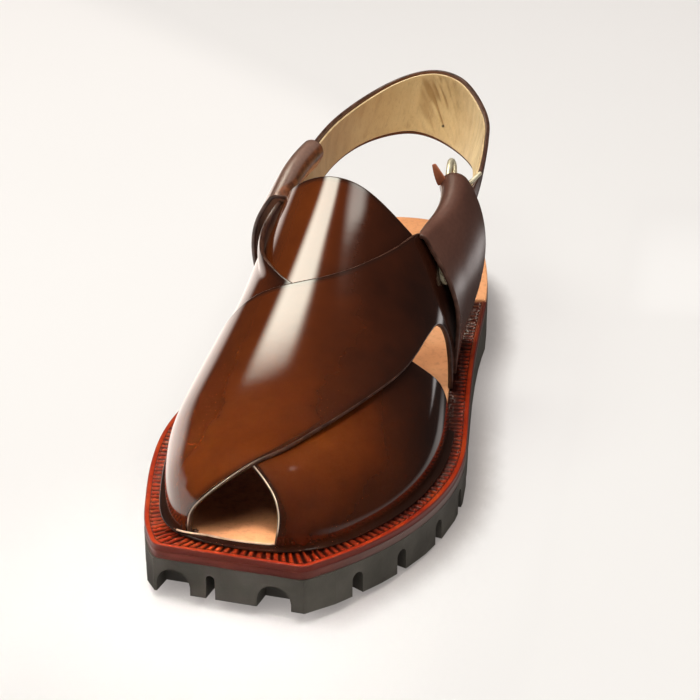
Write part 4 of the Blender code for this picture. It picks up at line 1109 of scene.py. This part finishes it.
def make_welt(paint):
    """The tooled welt: a comb of radial ridges inside a plain band, and its side."""
    outline = sole_outline()
    outer = spread(round_toe(outline, WELT_END), WELT_POINTS)
    inner = round_toe(soften(inset(outline, WELT_INNER_INSET), INSET_SOFTENING), WELT_END)
    inner = spread(inner, 2 * WELT_POINTS)
    nearest = np.array([np.argmin(np.sum((inner - point) ** 2, axis=1)) for point in outer], dtype=float)
    nearest = average(nearest[:, None], 40)[:, 0]
    run = interpolated(nearest, np.arange(len(inner)), inner) - outer
    width = np.linalg.norm(run, axis=1)
    run /= width[:, None]
    travel = lengths_along(outer)
    rng = np.random.default_rng(COMB_SEED)
    ridges = int(travel[-1] / COMB_PITCH)
    places = np.arange(ridges + 1)
    starts = (places + rng.uniform(-RIDGE_SHIFT, RIDGE_SHIFT, ridges + 1)) * COMB_PITCH
    phase = np.interp(travel, starts, places)
    tall = np.interp(phase, places, rng.uniform(*RIDGE_HEIGHTS, ridges + 1))
    ridge = smoothstep((0.5 - 0.5 * np.cos(2.0 * np.pi * phase)) * 1.5 - 0.1) * tall
    reach = rng.uniform(*RIDGE_REACHES, ridges + 2)[(phase + 0.5).astype(int)]
    columns = []
    for share in np.linspace(1.0, 0.0, COMB_RINGS):
        distance = BAND + COMB_START + (width - COMB_GAP - BAND - COMB_START) * share
        worn = fade(share, reach, 0.12)
        broken = ridge * (1.0 - 0.8 * worn) * cloud(travel, 9.0 * share, 0.8, 1.0, 5)
        part = 0.75 * ridge * (1.0 - worn) + 0.25 * broken
        columns.append((distance, -0.6 + 0.95 * part, part * (1.0 - 0.45 * share)))
    for distance, base, part in COMB_FOOT:
        columns.append((distance, base + part * ridge, np.maximum(ridge * part, 0.25)))
    columns += [(distance, height, 1.0) for distance, height in WELT_RINGS + [(width, -WELT_SIDE)]]
    rings = []
    lay = []
    for distance, height, part in columns:
        distance, part = [np.broadcast_to(value, len(outer)) for value in (distance, part)]
        plan = outer + run * distance[:, None]
        rings.append(raised(plan, welt_top(plan[:, 1]) + height))
        lay.append(np.stack([travel, distance, part], axis=-1))
    lay = np.stack(lay, axis=1).reshape(-1, 3)
    return tube("welt_band", np.stack(rings, axis=1), [paint], False, lay)


# the midsole's levels: distance inside the sole's edge, height from the welt's top, and how far they are
# drawn together towards the sole's middle, across and along
WHOLE = (1.0, 1.0)
HALFWAY = (0.5, 0.8)
SPINE = (0.02, 0.7)
MIDSOLE_LEVELS = [
    (0.3, -2.25, SPINE), (0.3, -2.25, HALFWAY), (0.12, -2.25, WHOLE), (0.0, -2.4, WHOLE),
    (0.0, -2.9, WHOLE), (0.0, -3.5, WHOLE), (0.0, -4.1, WHOLE), (0.0, -4.6, WHOLE),
    (0.05, -4.85, WHOLE), (0.2, -4.95, WHOLE), (0.3, -4.9, HALFWAY), (0.3, -4.9, SPINE),
]


def make_midsole(paint):
    outline = close_spread(sole_outline(), 0.8)
    middle = outline.mean(axis=0)
    away = away_from(middle, outline, np.roll(outline, -2, axis=0) - np.roll(outline, 2, axis=0))
    rings = []
    for moved, height, shrink in MIDSOLE_LEVELS:
        plan = middle + (outline - away * moved - middle) * np.array(shrink)
        rings.append(raised(plan, welt_top(plan[:, 1]) + height))
    return tube("midsole_edge", np.array(rings), [paint], False)


FOOTBED_BACK = 14.0          # stations between which the footbed's sides run
FOOTBED_FRONT = 262.0
FOOTBED_COLUMNS = 60
FOOTBED_DEPTH = 2.0          # its underside below the welt's top
FOOTBED_RISE = 0.8           # its upper face above the welt's top
FOOTBED_CORE = (0.0, 140.0, -500.0)


def make_footbed(paint):
    """The insole: out to the sole's edge at the heel and inside the upper in front."""
    outline = sole_outline()
    wide = soften(inset(outline, FOOTBED_INSET), 1)
    narrow = soften(inset(outline, INSOLE_INSET), INSET_SOFTENING)
    stations = np.concatenate([np.linspace(FOOTBED_BACK, WELT_END - 0.3, 60),
                               np.linspace(WELT_END + 0.3, FOOTBED_FRONT, 150)])
    medial, lateral = [np.array([(side_x(wide if station < WELT_END else narrow, side, station), station)
                                 for station in stations]) for side in (-1, 1)]
    heel = spread(heel_arc(wide, stations[0]), FOOTBED_COLUMNS, CROWD)
    front = narrow[narrow[:, 1] > stations[-1]]
    front = front[np.argsort(front[:, 0])]
    front = spread(np.concatenate([medial[-1:], front, lateral[-1:]]), FOOTBED_COLUMNS, CROWD)
    plan = patch(heel, front, medial, lateral, (0.0, CROWD))
    base = raised(plan, welt_top(plan[..., 1]) - FOOTBED_DEPTH)
    return plate("footbed", base, FOOTBED_DEPTH + FOOTBED_RISE, outward(base, FOOTBED_CORE), [paint] * 3,
                 bulge=0.12)


# ---------------------------------------------------------------- back strap and buckle
STRAP_LEATHER = 1.35
STRAP_CROWN = 0.7
LINING = 0.8
LINING_INSET = 1.1
LINING_GAP = 0.02
CREASE_X = 11.0              # middle of the lining's deep creases and how far to either side they reach
CREASE_REACH = 7.0
CREASE_STATION = 40.0        # they are only behind this
BACK_CORE = (5.0, 60.0, 70.0)


def back_strap_face(lengthwise, across, inset_by=0.0):
    """The back strap's outer face, from its lateral end round the heel, slightly crowned."""
    rows = np.array(BACK_STRAP)
    low, high = [smooth_path(edge, lengthwise) for edge in (rows[:, :3], rows[:, 3:])]
    rise = unit(high - low)
    low = low + rise * inset_by
    high = high - rise * inset_by
    share = even(across, CROWD)[None, :, None]
    face = low[:, None] + (high - low)[:, None] * share
    crown = STRAP_CROWN * np.sin(np.pi * share)
    return ironed(face + grid_normals(face) * outward(face, BACK_CORE) * crown, 2)


def make_back_strap(leather, lining):
    face = back_strap_face(260, 30)
    facing = outward(face, BACK_CORE)
    inner = face - grid_normals(face) * facing * STRAP_LEATHER
    strap = plate("back_strap_leather", inner, STRAP_LEATHER, facing, leather)
    face = back_strap_face(520, 40, LINING_INSET)
    base = face - grid_normals(face) * facing * (STRAP_LEATHER + LINING_GAP)
    lay = lay_of(base)
    along, across = lay[..., 0], lay[..., 1]
    creased = np.exp(-((base[..., 0] - CREASE_X) / CREASE_REACH) ** 2) * (base[..., 1] < CREASE_STATION)
    slanted = along - 0.75 * across
    relief = 0.10 * cloud(along, across, 3.0, 16.0, 3) + 0.4 * creased * cloud(slanted, across, 1.7, 9.0, 5)
    relief *= smoothstep(lay[..., 2] / 2.0)
    # the relief also sets the tone, which paints shade into the lining's creases
    lined = plate("back_strap_lining", base, LINING, -facing, lining, relief=relief, tone=0.5 + relief)
    return strap, lined


def buckle_path(count):
    """The buckle's closed wire: two long bars joined by a round end in front and one behind."""
    (front, front_half), (rear, rear_half) = [np.array(end) for end in (BUCKLE_FRONT, BUCKLE_REAR)]
    points = []
    for step in range(count):
        turn = 2.0 * math.pi * step / count
        along = 0.5 - 0.5 * math.copysign(abs(math.cos(turn)) ** BUCKLE_ENDS, math.cos(turn))
        across = math.copysign(abs(math.sin(turn)) ** BUCKLE_SIDES, math.sin(turn))
        middle = front + (rear - front) * along
        points.append(middle + (front_half + (rear_half - front_half) * along) * across)
    return np.array(points)


def make_buckle(metal):
    loop = close_spread(buckle_path(400), 1.0)
    ring = round_wire("buckle", soften(loop, 1), 0.5 * BUCKLE_WIRE, True, [metal])
    path = smooth_path(PRONG, 30)
    taper = 0.5 * PRONG_WIRE * (1.0 - 0.25 * smoothstep(np.linspace(0.0, 1.0, len(path))))
    return ring, round_wire("prong", path, taper, False, [metal])


TIP_BASE = (29.5, 111.7, 80.5)
TIP_END = (26.2, 111.2, 87.0)
TIP_ACROSS = (0.94, 0.1, 0.33)
TIP_HALF_WIDTH = 1.7
TIP_LEATHER = 1.1


def make_billet_tip(materials):
    """The raw end of the buckle's leather keeper, standing up behind the lateral side strap's fold."""
    base, end = np.array(TIP_BASE), np.array(TIP_END)
    share = np.linspace(0.0, 1.0, 24)[:, None, None]
    across = np.linspace(-1.0, 1.0, 12)[None, :, None]
    half = TIP_HALF_WIDTH * (1.0 - 0.75 * share**1.5)
    grid = base + (end - base) * share + across * half * np.array(TIP_ACROSS)
    grid[..., 1] += 0.5 * np.sin(3.0 * share[..., 0])
    return plate("billet_tip", grid, TIP_LEATHER, 1.0, materials)


# ---------------------------------------------------------------- stage
CAMERA_AZIMUTH = math.radians(10.905)
CAMERA_ELEVATION = math.radians(25.292)
CAMERA_DISTANCE = 0.8
CAMERA_TARGET = Vector((-0.007942, 0.052335, 0.0))
CAMERA_LENS = 105.82
CAMERA_SENSOR = 36.0

# soft lights: name, place, aim, size, energy, colour, and spread in degrees
LIGHTS = [
    ("key", (-0.34, 0.12, 0.85), (0.0, -0.02, 0.04), (0.42, 0.5), 5.5, (1.0, 0.95, 0.86), 180.0),
    ("top", (0.15, 0.0, 2.6), (0.0, 0.0, 0.0), (2.6, 2.6), 42.0, (1.0, 0.97, 0.93), 180.0),
    ("front", (-0.08, -0.6, 0.9), (0.0, -0.05, 0.02), (0.4, 0.4), 5.5, (1.0, 0.96, 0.9), 180.0),
    ("fill", (0.75, -0.35, 0.30), (0.0, 0.0, 0.02), (0.5, 0.4), 2.0, (1.0, 0.97, 0.95), 180.0),
    ("toe_snoot", (0.0, -0.36, 0.78), (-0.014, -0.132, 0.022), (0.09, 0.09), 0.037, (1.0, 0.93, 0.84), 7.0),
]
WORLD_COLOUR = (1.0, 0.9, 0.82, 1.0)
WORLD_STRENGTH = 0.035

# cards: name, corners in order round the card, strength, colour, and the share of the card over which its
# glow fades at its first, third, fourth and second side
HIGH = 0.8                   # heights of the cards over the floor
FLAG = 0.09
LOW = 0.001
WALL = 0.14
CARDS = [
    ("key_card", [(-0.04, 0.0, HIGH), (-0.10, 0.29, HIGH), (-0.60, 0.58, HIGH), (-0.52, 0.10, HIGH)],
     17.0, (0.98, 0.95, 0.80), (0.15, 0.4, 0.08, 0.45)),
    ("edge_card", [(0.03, 0.060, HIGH), (0.38, 0.085, HIGH), (0.40, 0.19, HIGH), (0.07, 0.165, HIGH)],
     7.0, (1.0, 0.95, 0.85), (0.12, 0.4, 0.35, 0.45)),
    ("toe_flag",
     [(0.03, -0.125, FLAG), (0.02, -0.085, FLAG), (-0.055, -0.073, FLAG), (-0.055, -0.118, FLAG)],
     0.0, (0.0, 0.0, 0.0), (0.1, 0.1, 0.1, 0.1)),
    ("left_card", [(-0.053, -0.20, LOW), (-0.055, 0.35, LOW), (-0.50, 0.80, LOW), (-0.45, -0.20, LOW)],
     1.9, (1.0, 0.88, 0.80), (0.05, 0.001, 0.02, 0.1)),
    ("left_wall", [(-0.45, -0.20, LOW), (-0.50, 0.80, LOW), (-0.50, 0.80, WALL), (-0.45, -0.20, WALL)],
     1.9, (1.0, 0.88, 0.80), (0.001, 0.98, 0.02, 0.1)),
    ("right_card", [(0.055, -0.17, LOW), (0.085, -0.17, LOW), (0.085, 0.07, LOW), (0.06, 0.07, LOW)],
     0.55, (1.0, 0.93, 0.88), (0.2, 0.3, 0.3, 0.3)),
    ("side_card", [(0.09, 0.10, LOW), (0.19, 0.11, LOW), (0.19, 0.24, LOW), (0.09, 0.24, LOW)],
     1.4, (1.0, 0.95, 0.93), (0.15, 0.6, 0.15, 0.3)),
]
CARD_STEPS = 24

FLOOR_HALF = 4.0
FLOOR_DROP = 0.0003
FLOOR_GLOW = 0.63
FLOOR_GLOW_COLOUR = (1.0, 0.925, 0.89, 1.0)
FLOOR_SHADE = (0.125, 0.108, 0.097)
GLOW_LEFT = 0.36             # the share of its glow that the floor keeps where the shoe stands over it
SHADE_REACH = 0.016
SHADE_SPAN = (0.40, 0.88)
SHADE_LEAN = (-0.75, -0.40, 0.50)   # towards the side that the soft light comes from


def hide_from(thing, *rays):
    for ray in rays:
        setattr(thing, "visible_" + ray, False)


def aimed(direction):
    """The turn that points a camera or a light along a direction."""
    return direction.to_track_quat("-Z", "Y").to_euler()


def place_camera():
    level = math.cos(CAMERA_ELEVATION)
    offset = Vector((math.sin(CAMERA_AZIMUTH) * level, -math.cos(CAMERA_AZIMUTH) * level,
                     math.sin(CAMERA_ELEVATION)))
    camera = add_object("camera", bpy.data.cameras.new("camera"))
    camera.data.lens = CAMERA_LENS
    camera.data.sensor_width = CAMERA_SENSOR
    camera.data.clip_start = 0.01
    camera.location = CAMERA_TARGET + offset * CAMERA_DISTANCE
    camera.rotation_euler = aimed(-offset)
    bpy.context.scene.camera = camera


def soft_light(name, place, aim, size, energy, colour, spread_angle):
    lamp = bpy.data.lights.new(name, "AREA")
    lamp.shape = "RECTANGLE"
    lamp.size, lamp.size_y = size
    lamp.spread = math.radians(spread_angle)
    lamp.energy = energy
    lamp.color = colour
    thing = add_object(name, lamp)
    thing.location = place
    thing.rotation_euler = aimed(Vector(aim) - Vector(place))
    hide_from(thing, "camera", "glossy")


def card(name, corners, strength, colour, soft):
    """A glowing studio card, seen only in reflections."""
    share = np.linspace(0.0, 1.0, CARD_STEPS)
    u = share[:, None, None]
    v = share[None, :, None]
    one, two, three, four = [np.array(corner) for corner in corners]
    points = (1.0 - u) * ((1.0 - v) * one + v * two) + u * ((1.0 - v) * four + v * three)
    fades = [smoothstep(part / reach) for part, reach in zip((u, 1.0 - u, v, 1.0 - v), soft)]
    glow = fades[0] * fades[1] * fades[2] * fades[3]
    mesh = bpy.data.meshes.new(name)
    mesh.from_pydata(points.reshape(-1, 3).tolist(), [], grid_faces(CARD_STEPS, CARD_STEPS))
    carry(mesh, "glow", "FLOAT", "value", glow)
    paint = Paint(name, Base_Color=(0.0, 0.0, 0.0, 1.0), Emission_Color=(*colour, 1.0),
                  Specular_IOR_Level=0.0)
    paint.drive("Emission Strength", paint.product(paint.attribute("glow"), strength))
    mesh.materials.append(paint.material)
    thing = add_object(name, mesh)
    hide_from(thing, "camera", "diffuse", "shadow")


def make_floor():
    """Pale paper that glows a little, as if lit from all round, but less where the shoe would block that."""
    mesh = bpy.data.meshes.new("floor")
    corners = [(x * FLOOR_HALF, y * FLOOR_HALF, 0.0) for x, y in ((-1, -1), (1, -1), (1, 1), (-1, 1))]
    mesh.from_pydata(corners, [], [(0, 1, 2, 3)])
    paint = Paint("floor_paper", Roughness=0.8, Emission_Color=FLOOR_GLOW_COLOUR)
    lean = paint.node("ShaderNodeCombineXYZ", list(zip("XYZ", SHADE_LEAN))).outputs[0]
    sky = paint.node("ShaderNodeAmbientOcclusion", [("Distance", SHADE_REACH), ("Normal", lean)], samples=8)
    seen = paint.span(sky.outputs["AO"], *SHADE_SPAN)
    paper = paint.ramp(paint.noise(6.0, 2.0), (0.3, (0.190, 0.205, 0.205)), (0.7, (0.197, 0.212, 0.212)))
    paint.colour(paint.mix(seen, FLOOR_SHADE, paper))
    paint.drive("Emission Strength", paint.span(seen, 0.0, 1.0, GLOW_LEFT * FLOOR_GLOW, FLOOR_GLOW))
    mesh.materials.append(paint.material)
    floor = add_object("floor", mesh)
    floor.location.z = -FLOOR_DROP
    hide_from(floor, "glossy")


def light_stage():
    world = bpy.data.worlds.new("studio")
    bpy.context.scene.world = world
    world.use_nodes = True
    background = world.node_tree.nodes["Background"].inputs
    background["Color"].default_value = WORLD_COLOUR
    background["Strength"].default_value = WORLD_STRENGTH
    for light in LIGHTS:
        soft_light(*light)
    for settings in CARDS:
        card(*settings)
    bpy.context.scene.view_settings.view_transform = "Standard"


# ---------------------------------------------------------------- assembly
EDGE_DYE = ((0.022, 0.008, 0.005), (0.075, 0.032, 0.020))
OVER_HIGHLIGHT = (9.0, 40.0)      # lengths along the front edges between which the painted highlight on the corner fades
UNDER_HIGHLIGHT = (22.0, 30.0)


def stands_for(node, slot, *pieces):
    for piece in pieces:
        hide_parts(node)


def main():
    last = Last()
    edge = cut_edge("cut_edge_brown", *EDGE_DYE)
    # the over and under straps' cut edges carry the painted highlight near the toe
    over_edge = cut_edge("cut_edge_over", *EDGE_DYE, OVER_HIGHLIGHT)
    under_edge = cut_edge("cut_edge_under", *EDGE_DYE, UNDER_HIGHLIGHT)
    # pale cream: a painted highlight along the toe lip
    lip_highlight = cut_edge("lip_painted_highlight", (0.40, 0.26, 0.17), (0.85, 0.70, 0.55))
    strap_edge = cut_edge("strap_edge_dark", (0.030, 0.012, 0.008), (0.11, 0.052, 0.036))
    flesh = flesh_side("flesh_rust", (0.10, 0.035, 0.014), (0.20, 0.075, 0.030))
    polished = glossy_leather()
    satin = satin_leather("satin_leather", (0.062, 0.026, 0.018), (0.105, 0.046, 0.033))
    # a lighter copy of the satin for the medial side strap: painted sheen, standing in for the broad soft
    # reflection on it
    sheen_satin = satin_leather("satin_leather_painted_sheen", (0.105, 0.056, 0.042), (0.170, 0.098, 0.075))
    stands_for("upper", "upper_leather",
               *make_crossed_straps(last, [polished, flesh, over_edge], [polished, flesh, under_edge]),
               make_tongue(last, [polished, flesh, edge]), make_flange(last, polished),
               make_toe_lip(last, lip_highlight), *make_side_straps(last, (satin, sheen_satin), [flesh, strap_edge]))
    stands_for("welt", "welt_leather", make_welt(welt_leather()))
    stands_for("midsole", "midsole_red", make_midsole(edge_leather()))
    stands_for("insole", "insole_leather", make_footbed(footbed_leather()))
    lining = khaki_lining()
    cream = cut_edge("lining_edge_cream", (0.52, 0.37, 0.19), (0.75, 0.58, 0.34))
    stands_for("back_strap", "back_strap_leather",
               *make_back_strap([satin, flesh, strap_edge], [lining, lining, cream]))
    ring, prong = make_buckle(brass())
    stands_for("buckle_frame", "buckle_brass", ring)
    stands_for("buckle_prong", "buckle_brass", prong)
    raw = flesh_side("raw_tan", (0.24, 0.07, 0.03), (0.46, 0.16, 0.08))
    stands_for("upper", "upper_leather", make_billet_tip([raw] * 3))
    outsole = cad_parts["outsole"]
    outsole.data.materials.clear()
    outsole.data.materials.append(rubber())
    make_floor()
    place_camera()
    light_stage()


main()
